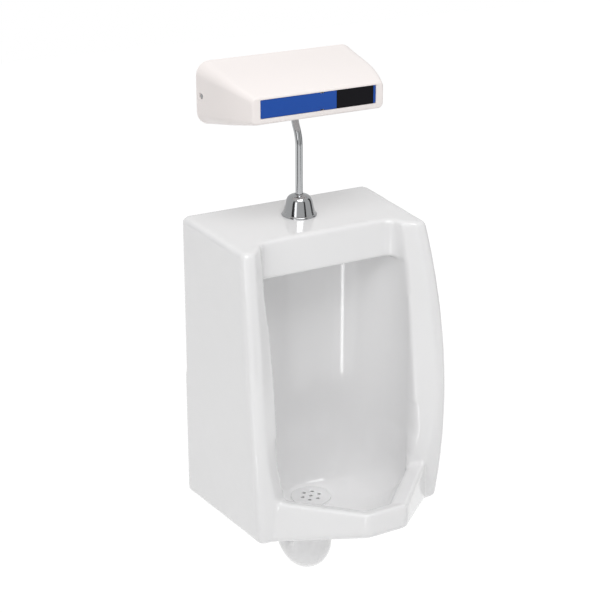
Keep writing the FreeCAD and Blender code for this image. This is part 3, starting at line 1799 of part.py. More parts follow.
def battery_pack():
    """The tray on the back plate, four round cells in two rows, and the lid over them."""
    wall = s.battery_wall
    pitch = s.battery_pitch
    outer = -s.battery_out - 2 * pitch - 2 * wall
    back = -s.plate_t
    front = back - 2 * pitch - wall
    low = box_z(s.battery_rise)
    high = low + s.battery_length + s.battery_tip_h + 2 * wall
    tray = block("battery_block", (outer, front, low), (-s.battery_out, back, high))
    room = block(
        "battery_room",
        (outer + wall, front - 1.0, low + wall),
        (-s.battery_out - wall, back - wall, high - wall),
    )
    less("battery_case", tray, [room], keep=True)
    lid = block("battery_cover", (outer, front - wall, low), (-s.battery_out, front, high))
    lid.Label = "battery_lid"
    finish(lid)
    body_top = s.battery_length
    profile = [
        (0, 0),
        (s.battery_r, 0),
        (s.battery_r, body_top),
        (s.battery_tip_r, body_top),
        (s.battery_tip_r, body_top + s.battery_tip_h),
        (0, body_top + s.battery_tip_h),
    ]
    at = (outer + wall + pitch / 2, back - wall - pitch / 2, low + wall)
    cell = turned("battery_cell", profile, at, keep=False)
    spots = [(column * pitch, -row * pitch, 0) for column in (0, 1) for row in (0, 1)]
    copies("batteries", cell, spots)


def lead(label, points):
    """A flat two core lead clipped on edge along straight runs, with a round bend at each turn."""
    bend = float(s.lead_bend_r)
    spots = [Vector(*[float(size(value)) for value in point]) for point in points]
    edges = []
    start = spots[0]
    for index in range(1, len(spots) - 1):
        corner = spots[index]
        before = (spots[index - 1] - corner).normalize()
        after = (spots[index + 1] - corner).normalize()
        middle = corner + (before + after) * bend - (before + after).normalize() * bend
        enter = corner + before * bend
        leave = corner + after * bend
        edges.append(Part.makeLine(start, enter))
        edges.append(Part.Arc(enter, middle, leave).toShape())
        start = leave
    edges.append(Part.makeLine(start, spots[-1]))
    half = float(s.lead_t) / 2
    high = float(s.lead_w) / 2
    way = (spots[1] - spots[0]).normalize()
    side = Vector(-way.y, way.x, 0) * half
    up = Vector(0, 0, high)
    corners = [spots[0] + side + up, spots[0] - side + up, spots[0] - side - up, spots[0] + side - up]
    section = Part.makePolygon(corners + [corners[0]])
    solid_feature(label, Part.Wire(edges).makePipeShell([section], True, True))


def leads():
    """Battery to module along the valve's front, and module to solenoid above it; all bends are square."""
    back = -s.box_depth + s.box_front_wall + s.module_depth
    low = box_z(s.battery_lead_rise)
    left = -s.battery_out + s.lead_clear
    y = -s.plate_t - s.battery_pitch
    front = back + s.lead_clear
    into = s.module_from + s.lead_clear
    lead("battery_lead", [
        (-s.battery_out, y, low),
        (left, y, low),
        (left, front, low),
        (into, front, low),
        (into, back, low),
    ])
    high = box_z(s.coil_lead_rise)
    start = -s.valve_depth - s.coil_r
    near = front + s.lead_clear / 2
    far = into + s.lead_clear
    lead("coil_lead", [
        (-s.solenoid_out, start, high),
        (-s.solenoid_out, near, high),
        (far, near, high),
        (far, back, high),
    ])


# ---------------------------------------------------------------- assembly


def build():
    china()
    strainer()
    hangers()
    hanger_screws()
    lower_fixings()
    spud()
    escutcheon()
    flush_pipe()
    valve_body()
    valve_cap()
    piston()
    coupling()
    solenoid()
    stop_valve()
    supply()
    cover()
    cover_screws()
    fascia()
    back_plate()
    sensor_module()
    battery_pack()
    leads()
    DOC.recompute()


def write():
    """Checks every object and writes each piece to its own file."""
    for item in DOC.Objects:
        if "Invalid" in item.State or "Error" in item.State:
            raise RuntimeError(item.Label + " is not sound: " + str(item.State))
    os.makedirs("parts", exist_ok=True)
    for label, item in PARTS.items():
        shape = item.Shape
        if shape.isNull() or not shape.isValid() or not shape.Solids:
            raise RuntimeError(label + " has no sound solid")
        shape.exportStep("parts/" + label + ".step")


build()
write()
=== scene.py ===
"""A wall hung urinal with its flush pipe and sensor flush box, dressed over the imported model."""

import json
import logging
import math
from dataclasses import dataclass, field
from enum import Enum

import bmesh
import bpy
from mathutils import Matrix, Vector


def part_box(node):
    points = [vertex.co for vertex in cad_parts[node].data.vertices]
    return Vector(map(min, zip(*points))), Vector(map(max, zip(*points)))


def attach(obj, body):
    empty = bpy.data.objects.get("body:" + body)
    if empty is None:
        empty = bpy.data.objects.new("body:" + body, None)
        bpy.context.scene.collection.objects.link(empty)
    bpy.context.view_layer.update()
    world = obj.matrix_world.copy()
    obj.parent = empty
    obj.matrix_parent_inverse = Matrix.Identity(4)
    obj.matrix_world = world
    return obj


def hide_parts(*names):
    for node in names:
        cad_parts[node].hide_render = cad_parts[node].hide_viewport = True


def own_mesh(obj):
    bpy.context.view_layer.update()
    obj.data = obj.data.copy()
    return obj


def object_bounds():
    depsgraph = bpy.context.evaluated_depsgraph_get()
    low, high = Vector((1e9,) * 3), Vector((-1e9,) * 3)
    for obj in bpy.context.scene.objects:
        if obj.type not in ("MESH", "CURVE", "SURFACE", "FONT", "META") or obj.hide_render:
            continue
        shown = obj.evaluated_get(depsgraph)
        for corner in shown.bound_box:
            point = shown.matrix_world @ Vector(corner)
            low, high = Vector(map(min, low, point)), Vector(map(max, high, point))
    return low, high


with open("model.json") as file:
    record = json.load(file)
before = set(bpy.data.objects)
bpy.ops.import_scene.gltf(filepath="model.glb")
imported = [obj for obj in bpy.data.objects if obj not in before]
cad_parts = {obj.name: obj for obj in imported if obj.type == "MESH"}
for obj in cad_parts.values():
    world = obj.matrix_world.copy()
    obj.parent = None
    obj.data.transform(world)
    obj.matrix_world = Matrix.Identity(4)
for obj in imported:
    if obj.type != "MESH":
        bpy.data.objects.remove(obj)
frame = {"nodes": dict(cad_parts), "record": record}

LOG = logging.getLogger("urinal")
CAD_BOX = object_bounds()
MM = 0.001
JOIN = 1e-6
WIRE_JOIN = 1e-7


# ------------------------------------------------------------------ shared surface effects


class Pattern(Enum):
    """How a finish varies over a surface."""

    MOTTLED = "mottled"
    BRUSHED = "brushed"
    CAST = "cast"
    MOULDED = "moulded"


def new_group(name: str, inputs: dict[str, float], outputs: tuple[str, ...]) -> bpy.types.NodeTree:
    """Start a shader group with number inputs and number outputs.

    Args:
        name: The group's name.
        inputs: Each input's name and its default.
        outputs: The names of the outputs.

    Returns:
        The empty group with its two end nodes, named "ends_in" and "ends_out".
    """
    group = bpy.data.node_groups.new(name, "ShaderNodeTree")
    for key, value in inputs.items():
        socket = group.interface.new_socket(key, in_out="INPUT", socket_type="NodeSocketFloat")
        socket.default_value = value
    for key in outputs:
        group.interface.new_socket(key, in_out="OUTPUT", socket_type="NodeSocketFloat")
    group.nodes.new("NodeGroupInput").name = "ends_in"
    group.nodes.new("NodeGroupOutput").name = "ends_out"
    return group


def unevenness_group() -> bpy.types.NodeTree:
    """Build the group that gives a broad mask and a fine height, stretched along one axis if asked.

    Returns:
        A group with inputs Broad, Fine and Stretch, and outputs Mask and Height.
    """
    inputs = {"Broad": 9.0, "Fine": 240.0, "Stretch": 1.0}
    group = new_group("unevenness", inputs, ("Mask", "Height"))
    nodes, links = group.nodes, group.links
    ends_in, ends_out = nodes["ends_in"], nodes["ends_out"]
    place = nodes.new("ShaderNodeTexCoord")
    spread = nodes.new("ShaderNodeVectorMath")
    spread.operation = "MULTIPLY"
    stretch = nodes.new("ShaderNodeCombineXYZ")
    stretch.inputs[0].default_value = 1.0
    stretch.inputs[1].default_value = 1.0
    links.new(ends_in.outputs["Stretch"], stretch.inputs[2])
    links.new(place.outputs["Object"], spread.inputs[0])
    links.new(stretch.outputs[0], spread.inputs[1])
    broad = nodes.new("ShaderNodeTexNoise")
    broad.inputs["Detail"].default_value = 4.0
    broad.inputs["Roughness"].default_value = 0.55
    links.new(place.outputs["Object"], broad.inputs["Vector"])
    links.new(ends_in.outputs["Broad"], broad.inputs["Scale"])
    fine = nodes.new("ShaderNodeTexNoise")
    fine.inputs["Detail"].default_value = 3.0
    fine.inputs["Roughness"].default_value = 0.6
    links.new(spread.outputs[0], fine.inputs["Vector"])
    links.new(ends_in.outputs["Fine"], fine.inputs["Scale"])
    links.new(broad.outputs["Fac"], ends_out.inputs["Mask"])
    links.new(fine.outputs["Fac"], ends_out.inputs["Height"])
    return group


def settled_dust_group() -> bpy.types.NodeTree:
    """Build the group that masks faces turned upwards, broken up by noise, where dust and wear settle.

    Returns:
        A group with inputs Reach and Scale, and the output Mask.
    """
    group = new_group("settled_dust", {"Reach": 0.6, "Scale": 30.0}, ("Mask",))
    nodes, links = group.nodes, group.links
    ends_in, ends_out = nodes["ends_in"], nodes["ends_out"]
    place = nodes.new("ShaderNodeTexCoord")
    split = nodes.new("ShaderNodeSeparateXYZ")
    links.new(place.outputs["Normal"], split.inputs[0])
    noise = nodes.new("ShaderNodeTexNoise")
    noise.inputs["Detail"].default_value = 5.0
    links.new(place.outputs["Object"], noise.inputs["Vector"])
    links.new(ends_in.outputs["Scale"], noise.inputs["Scale"])
    above = nodes.new("ShaderNodeMapRange")
    links.new(split.outputs[2], above.inputs["Value"])
    links.new(ends_in.outputs["Reach"], above.inputs["From Min"])
    above.inputs["From Max"].default_value = 1.0
    both = nodes.new("ShaderNodeMath")
    both.operation = "MULTIPLY"
    links.new(above.outputs["Result"], both.inputs[0])
    links.new(noise.outputs["Fac"], both.inputs[1])
    links.new(both.outputs[0], ends_out.inputs["Mask"])
    return group


class Effects:
    """The shader groups that the finishes share, built once."""

    def __init__(self) -> None:
        """Build the groups."""
        self.unevenness = unevenness_group()
        self.dust = settled_dust_group()


# ------------------------------------------------------------------ finishes


COAT_ROUGHNESS = 0.04
MASK_LOW = 0.3
MASK_HIGH = 0.7


@dataclass(frozen=True)
class Finish:
    """One surface finish: a Principled shader with procedural variation.

    Colours are linear. ``shade`` is how much darker the broad mask makes the colour, ``grain`` the
    height of the fine relief in metres, ``dulling`` how far the roughness swings over the surface, and
    ``gloss`` how strongly a finish that isn't metal mirrors.
    """

    name: str
    colour: tuple[float, float, float]
    roughness: float
    metallic: float = 0.0
    coat: float = 0.0
    shade: float = 0.06
    dulling: float = 0.06
    grain: float = 0.00002
    pattern: Pattern = Pattern.MOTTLED
    gloss: float = 0.5
    dust: float = 0.0
    tint: tuple[float, float, float] = (0.9, 0.9, 0.9)

    def scales(self) -> tuple[float, float, float]:
        """Give the broad scale, the fine scale and the stretch that suit the pattern."""
        return {
            Pattern.MOTTLED: (7.0, 90.0, 1.0),
            Pattern.BRUSHED: (14.0, 900.0, 0.04),
            Pattern.CAST: (20.0, 700.0, 1.0),
            Pattern.MOULDED: (9.0, 1600.0, 1.0),
        }[self.pattern]

    def material(self, effects: Effects) -> bpy.types.Material:
        """Build the material.

        Args:
            effects: The shared shader groups.

        Returns:
            The finished material.
        """
        material = bpy.data.materials.new(self.name)
        material.use_nodes = True
        nodes, links = material.node_tree.nodes, material.node_tree.links
        shader = nodes["Principled BSDF"]
        shader.inputs["Metallic"].default_value = self.metallic
        shader.inputs["Coat Weight"].default_value = self.coat
        shader.inputs["Coat Roughness"].default_value = COAT_ROUGHNESS
        shader.inputs["Specular IOR Level"].default_value = self.gloss
        uneven = nodes.new("ShaderNodeGroup")
        uneven.node_tree = effects.unevenness
        for key, value in zip(("Broad", "Fine", "Stretch"), self.scales()):
            uneven.inputs[key].default_value = value
        colour = nodes.new("ShaderNodeMix")
        colour.data_type = "RGBA"
        colour.inputs["A"].default_value = (*self.colour, 1.0)
        darker = tuple(part * (1.0 - self.shade) for part in self.colour)
        colour.inputs["B"].default_value = (*darker, 1.0)
        links.new(uneven.outputs["Mask"], colour.inputs["Factor"])
        result = colour.outputs["Result"]
        if self.dust:
            result = self._dusted(nodes, links, effects, result)
        links.new(result, shader.inputs["Base Color"])
        sheen = nodes.new("ShaderNodeMapRange")
        sheen.inputs["From Min"].default_value = MASK_LOW
        sheen.inputs["From Max"].default_value = MASK_HIGH
        sheen.inputs["To Min"].default_value = self.roughness
        sheen.inputs["To Max"].default_value = self.roughness + self.dulling
        links.new(uneven.outputs["Mask"], sheen.inputs["Value"])
        links.new(sheen.outputs["Result"], shader.inputs["Roughness"])
        if self.grain:
            relief = nodes.new("ShaderNodeBump")
            relief.inputs["Distance"].default_value = self.grain
            links.new(uneven.outputs["Height"], relief.inputs["Height"])
            links.new(relief.outputs["Normal"], shader.inputs["Normal"])
        return material

    def _dusted(
        self,
        nodes: bpy.types.Nodes,
        links: bpy.types.NodeLinks,
        effects: Effects,
        under: bpy.types.NodeSocket,
    ) -> bpy.types.NodeSocket:
        """Lay a faint tint on the faces that look up.

        Args:
            nodes: The material's nodes.
            links: The material's links.
            effects: The shared shader groups.
            under: The colour beneath.

        Returns:
            The tinted colour.
        """
        dust = nodes.new("ShaderNodeGroup")
        dust.node_tree = effects.dust
        amount = nodes.new("ShaderNodeMath")
        amount.operation = "MULTIPLY"
        amount.inputs[1].default_value = self.dust
        links.new(dust.outputs["Mask"], amount.inputs[0])
        over = nodes.new("ShaderNodeMix")
        over.data_type = "RGBA"
        links.new(amount.outputs[0], over.inputs["Factor"])
        links.new(under, over.inputs["A"])
        over.inputs["B"].default_value = (*self.tint, 1.0)
        return over.outputs["Result"]


FINISHES = (
    Finish("china", (0.84, 0.838, 0.842), 0.10, coat=0.6, shade=0.03, dulling=0.05, grain=0.00005),
    Finish("strainer_china", (0.78, 0.78, 0.785), 0.10, coat=0.6, shade=0.03, grain=0.00003),
    Finish("chrome_trim", (0.50, 0.51, 0.52), 0.09, metallic=1.0, shade=0.10, dulling=0.06, grain=0.00001),
    Finish(
        "cover_plastic", (0.91, 0.855, 0.835), 0.34, shade=0.02, dulling=0.08, grain=0.00002,
        pattern=Pattern.MOULDED, dust=0.03,
    ),
    Finish(
        "blue_strip", (0.010, 0.078, 0.40), 0.30, coat=0.06, shade=0.16, grain=0.00001,
        pattern=Pattern.MOULDED, gloss=0.25,
    ),
    Finish("dark_window", (0.002, 0.0015, 0.004), 0.12, coat=0.02, shade=0.3, grain=0.0, gloss=0.12),
    Finish("zinc_steel", (0.50, 0.51, 0.52), 0.34, metallic=1.0, shade=0.18, pattern=Pattern.CAST),
    Finish("zinc_screw", (0.42, 0.43, 0.44), 0.30, metallic=1.0, shade=0.2, pattern=Pattern.BRUSHED),
    Finish("brass", (0.60, 0.42, 0.16), 0.24, metallic=1.0, shade=0.18, pattern=Pattern.BRUSHED),
    Finish(
        "cast_brass", (0.52, 0.36, 0.14), 0.42, metallic=1.0, shade=0.22, grain=0.00012,
        pattern=Pattern.CAST,
    ),
    Finish("bright_steel", (0.56, 0.57, 0.58), 0.18, metallic=1.0, shade=0.12, pattern=Pattern.BRUSHED),
    Finish("spring_steel", (0.48, 0.48, 0.49), 0.22, metallic=1.0, shade=0.16, grain=0.0),
    Finish("black_rubber", (0.014, 0.014, 0.015), 0.62, shade=0.3, grain=0.00004, pattern=Pattern.CAST),
    Finish("piston_plastic", (0.10, 0.10, 0.11), 0.36, shade=0.2, pattern=Pattern.MOULDED),
    Finish("coil_plastic", (0.02, 0.022, 0.025), 0.42, shade=0.25, pattern=Pattern.MOULDED),
    Finish("module_plastic", (0.035, 0.036, 0.04), 0.45, shade=0.2, pattern=Pattern.MOULDED),
    Finish("board_green", (0.012, 0.11, 0.045), 0.35, coat=0.3, shade=0.25),
    Finish("emitter_lens", (0.12, 0.13, 0.18), 0.08, coat=0.4, grain=0.0),
    Finish("receiver_lens", (0.02, 0.02, 0.03), 0.08, coat=0.4, grain=0.0),
    Finish("battery_sleeve", (0.32, 0.33, 0.34), 0.28, coat=0.2, shade=0.15),
    Finish("lead_sheath", (0.03, 0.03, 0.034), 0.5, shade=0.2, pattern=Pattern.MOULDED),
)


class Workshop:
    """The materials by slot name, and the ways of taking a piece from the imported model."""

    def __init__(self) -> None:
        """Build every finish once."""
        effects = Effects()
        self.materials = {finish.name: finish.material(effects) for finish in FINISHES}
        self.slots = {part["node"]: part["material_slot"] for part in frame["record"]["subparts"]}

    def paint_nodes(self) -> None:
        """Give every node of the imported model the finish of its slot."""
        for name, node in frame["nodes"].items():
            material = self.materials[self.slots[name]]
            node.data.materials.clear()
            node.data.materials.append(material)

    def merged_mesh(self, node: str) -> bmesh.types.BMesh:
        """Copy a node's mesh and join its loose triangles.

        Args:
            node: The node's name.

        Returns:
            The joined copy.
        """
        mesh = bmesh.new()
        mesh.from_mesh(frame["nodes"][node].data)
        bmesh.ops.remove_doubles(mesh, verts=mesh.verts, dist=JOIN)
        return mesh

    def piece(
        self, name: str, mesh: bmesh.types.BMesh, slot: str, body: str = "urinal", crease: float = 35.0
    ) -> bpy.types.Object:
        """Make an object of a mesh, smooth but for its creases, and set it on its body.

        Args:
            name: The object's name.
            mesh: The finished mesh, which is freed.
            slot: The finish.
            body: The body that carries it.
            crease: The angle in degrees past which an edge stays sharp.

        Returns:
            The object.
        """
        limit = math.radians(crease)
        for edge in mesh.edges:
            edge.smooth = len(edge.link_faces) != 2 or edge.calc_face_angle(0.0) < limit
        for face in mesh.faces:
            face.smooth = True
        data = bpy.data.meshes.new(name)
        mesh.to_mesh(data)
        mesh.free()
        item = bpy.data.objects.new(name, data)
        bpy.context.scene.collection.objects.link(item)
        data.materials.append(self.materials[slot])
        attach(item, body)
        LOG.info("%s: %d faces, finish %s", name, len(data.polygons), slot)
        return item

    def stand_in(self, node: str, crease: float = 35.0, body: str = "urinal") -> bpy.types.Object:
        """Replace a node by its own joined shape, shaded smooth between its creases.

        Args:
            node: The node's name.
            crease: The angle in degrees past which an edge stays sharp.
            body: The body that carries it.

        Returns:
            The object.
        """
        item = self.piece(node + "_finished", self.merged_mesh(node), self.slots[node], body, crease)
        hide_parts(node)
        return item

    def tool(self, name: str, mesh: bmesh.types.BMesh) -> bpy.types.Object:
        """Turn a mesh into an object to cut with.

        Args:
            name: The object's name.
            mesh: The closed mesh, which is freed.

        Returns:
            The object, which isn't part of the model.
        """
        data = bpy.data.meshes.new(name)
        mesh.to_mesh(data)
        mesh.free()
        item = bpy.data.objects.new(name, data)
        bpy.context.scene.collection.objects.link(item)
        return item

    def carve(self, item: bpy.types.Object, tools: list[bpy.types.Object]) -> None:
        """Cut the tools out of an object and throw them away.

        Args:
            item: The object.
            tools: The cutting objects.
        """
        for tool in tools:
            cut = item.modifiers.new(tool.name, "BOOLEAN")
            cut.operation = "DIFFERENCE"
            cut.solver = "EXACT"
            cut.object = tool
            cut.use_self = True
        settle(item)
        for tool in tools:
            bpy.data.objects.remove(tool, do_unlink=True)


def centre_of(node: str) -> Vector:
    """Give the middle of a node's box."""
    low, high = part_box(node)
    return (Vector(low) + Vector(high)) / 2


def settle(item: bpy.types.Object) -> None:
    """Apply an object's modifiers to its mesh.

    Args:
        item: The object, whose modifiers are then removed.
    """
    depth = bpy.context.evaluated_depsgraph_get()
    data = bpy.data.meshes.new_from_object(item.evaluated_get(depth))
    item.modifiers.clear()
    item.data = data


# ------------------------------------------------------------------ china


@dataclass
class China:
    """The glazed bowl: its edges melt into one another as glaze and clay do in the kiln."""

    voxel: float = 0.0030
    soften_steps: int = 18
    soften_share: float = 0.5
    flow_top: float = -0.285
    flow_low: float = -0.3697
    flow_half_top: float = 0.1345
    flow_half_low: float = 0.1222
    flow_front: float = -0.30
    flow_back: float = -0.205
    ease_from: Vector = field(default_factory=lambda: Vector((0.105, -0.266, -0.362)))
    ease_to: Vector = field(default_factory=lambda: Vector((0.150, -0.200, -0.262)))
    ease_share: float = 0.5
    ease_steps: int = 40

    def flow(self) -> bmesh.types.BMesh:
        """Model the space that lets the niche's sides run down into the lip without a tongue.

        Returns:
            A closed block, wider at its top.
        """
        mesh = bmesh.new()
        bmesh.ops.create_cube(mesh, size=1.0)
        size = (2.0, self.flow_back - self.flow_front, self.flow_top - self.flow_low)
        bmesh.ops.scale(mesh, vec=size, verts=mesh.verts)
        place = (0.0, (self.flow_back + self.flow_front) / 2, (self.flow_top + self.flow_low) / 2)
        bmesh.ops.translate(mesh, vec=place, verts=mesh.verts)
        for half, rows in (
            (self.flow_half_top, [vert for vert in mesh.verts if vert.co.z > place[2]]),
            (self.flow_half_low, [vert for vert in mesh.verts if vert.co.z < place[2]]),
        ):
            bmesh.ops.scale(mesh, vec=(half, 1.0, 1.0), verts=rows)
        return mesh

    def ease(self, bowl: bpy.types.Object) -> None:
        """Soften the places where the niche's sides run down into the lip.

        Args:
            bowl: The remeshed bowl.
        """
        mesh = bmesh.new()
        mesh.from_mesh(bowl.data)
        near = [
            vert for vert in mesh.verts
            if self.ease_from.x < abs(vert.co.x) < self.ease_to.x
            and self.ease_from.y < vert.co.y < self.ease_to.y
            and self.ease_from.z < vert.co.z < self.ease_to.z
        ]
        for _ in range(self.ease_steps):
            bmesh.ops.smooth_vert(
                mesh, verts=near, factor=self.ease_share,
                use_axis_x=True, use_axis_y=True, use_axis_z=True,
            )
        mesh.to_mesh(bowl.data)
        mesh.free()

    def build(self, shop: Workshop) -> None:
        """Model and dress the bowl.

        Args:
            shop: The workshop.
        """
        mesh = shop.merged_mesh("urinal_bowl")
        bowl = shop.piece("urinal_bowl_glazed", mesh, "china", crease=180.0)
        shop.carve(bowl, [shop.tool("flow", self.flow())])
        even = bowl.modifiers.new("even", "REMESH")
        even.mode = "VOXEL"
        even.voxel_size = self.voxel
        even.use_smooth_shade = True
        soft = bowl.modifiers.new("soft", "SMOOTH")
        soft.factor = self.soften_share
        soft.iterations = self.soften_steps
        settle(bowl)
        self.ease(bowl)
        for face in bowl.data.polygons:
            face.use_smooth = True
        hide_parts("urinal_bowl")
        LOG.info("glazed bowl: %d faces", len(bowl.data.polygons))


@dataclass
class Strainer:
    """The fired strainer in the bowl's floor: a soft edged disc with one hole in the middle of six."""

    hole: float = 3.3 * MM
    hole_edge: float = 1.0 * MM
    hole_sides: int = 32
    drill_length: float = 30.0 * MM
    ring: float = 15.8 * MM
    turn: float = -8.0
    count: int = 6
    edge: float = 1.4 * MM
    edge_steps: int = 4
    rim_share: float = 0.9
    sides: int = 96

    def disc(self, radius: float, height: float) -> bmesh.types.BMesh:
        """Model the disc with its rounded edge, standing on the origin.

        Args:
            radius: The disc's radius.
            height: Its thickness.

        Returns:
            The disc's mesh.
        """
        mesh = bmesh.new()
        bmesh.ops.create_cone(
            mesh, cap_ends=True, segments=self.sides, radius1=radius, radius2=radius, depth=height,
            matrix=Matrix.Translation((0, 0, height / 2)),
        )
        near_top = height * self.rim_share
        rim = [edge for edge in mesh.edges if all(vert.co.z > near_top for vert in edge.verts)]
        bmesh.ops.bevel(
            mesh, geom=rim, offset=self.edge, offset_type="OFFSET", segments=self.edge_steps, profile=0.5,
            affect="EDGES", material=-1,
        )
        return mesh

    def build(self, shop: Workshop) -> None:
        """Model and dress the strainer.

        Args:
            shop: The workshop.
        """
        low, high = (Vector(corner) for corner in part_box("strainer"))
        middle = (low + high) / 2
        mesh = self.disc((high.x - low.x) / 2, high.z - low.z)
        bmesh.ops.translate(mesh, vec=(middle.x, middle.y, low.z), verts=mesh.verts)
        plate = shop.piece("strainer_glazed", mesh, "strainer_china", crease=40.0)
        places = [Vector((0.0, 0.0, 0.0))]
        for number in range(self.count):
            angle = math.radians(self.turn + 360.0 * number / self.count)
            places.append(Vector((math.cos(angle), math.sin(angle), 0.0)) * self.ring)
        drill = bmesh.new()
        top = Vector((middle.x, middle.y, high.z))
        for place in places:
            for reach, length, at in (
                (self.hole, self.drill_length, middle + place),
                (self.hole + self.hole_edge, self.hole_edge, top + place),
            ):
                bmesh.ops.create_cone(
                    drill, cap_ends=True, segments=self.hole_sides, radius1=self.hole, radius2=reach,
                    depth=length, matrix=Matrix.Translation(at),
                )
        shop.carve(plate, [shop.tool("drill", drill)])
        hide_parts("strainer")


# ------------------------------------------------------------------ pipe and bell


@dataclass
class FlushPipe:
    """The chromed pipe and the bell escutcheon over the spud."""

    bell_base: float = 30.5 * MM
    rim: float = 2.2 * MM
    wall: float = 1.1 * MM
    bore: float = 6.75 * MM
    height: float = 37.5 * MM
    turns: int = 96

    def profile(self) -> list[tuple[float, float]]:
        """Give the bell's section as radius and height, up the outside and down the inside."""
        outside = [
            (self.bell_base, 0.0),
            (self.bell_base, self.rim * 0.8),
            (self.bell_base - 0.5 * MM, self.rim * 1.25),
            (27.4 * MM, self.rim * 1.7),
            (26.6 * MM, 7.0 * MM),
            (25.2 * MM, 13.0 * MM),
            (23.9 * MM, 19.0 * MM),
            (22.5 * MM, 25.0 * MM),
            (21.4 * MM, 28.4 * MM),
            (19.8 * MM, 31.2 * MM),
            (17.4 * MM, 33.6 * MM),
            (14.4 * MM, 35.2 * MM),
            (11.2 * MM, 36.1 * MM),
            (9.4 * MM, 36.6 * MM),
            (8.6 * MM, self.height),
            (self.bore + 0.4 * MM, self.height),
            (self.bore, self.height - 0.4 * MM),
        ]
        inside = [
            (self.bore, 34.9 * MM),
            (13.4 * MM, 34.0 * MM),
            (18.2 * MM, 30.6 * MM),
            (21.2 * MM, 24.8 * MM),
            (25.4 * MM, 7.0 * MM),
            (self.bell_base - self.wall, self.rim * 0.6),
            (self.bell_base - self.wall, 0.0),
        ]
        return outside + inside

    def build(self, shop: Workshop) -> None:
        """Model and dress the bell and the pipe.

        Args:
            shop: The workshop.
        """
        middle = centre_of("bell_escutcheon")
        low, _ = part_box("bell_escutcheon")
        mesh = bmesh.new()
        ring = [mesh.verts.new((radius, 0.0, rise)) for radius, rise in self.profile()]
        for start, end in zip(ring, ring[1:] + ring[:1]):
            mesh.edges.new((start, end))
        bmesh.ops.spin(
            mesh, geom=list(mesh.verts) + list(mesh.edges), cent=(0, 0, 0), axis=(0, 0, 1),
            angle=2 * math.pi, steps=self.turns, use_merge=True,
        )
        bmesh.ops.remove_doubles(mesh, verts=mesh.verts, dist=JOIN)
        bmesh.ops.recalc_face_normals(mesh, faces=mesh.faces)
        bmesh.ops.translate(mesh, vec=(middle.x, middle.y, low[2]), verts=mesh.verts)
        bell = shop.piece("bell_turned", mesh, "chrome_trim", crease=50.0)
        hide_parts("bell_escutcheon")
        shop.stand_in("flush_pipe")


# ------------------------------------------------------------------ flush box


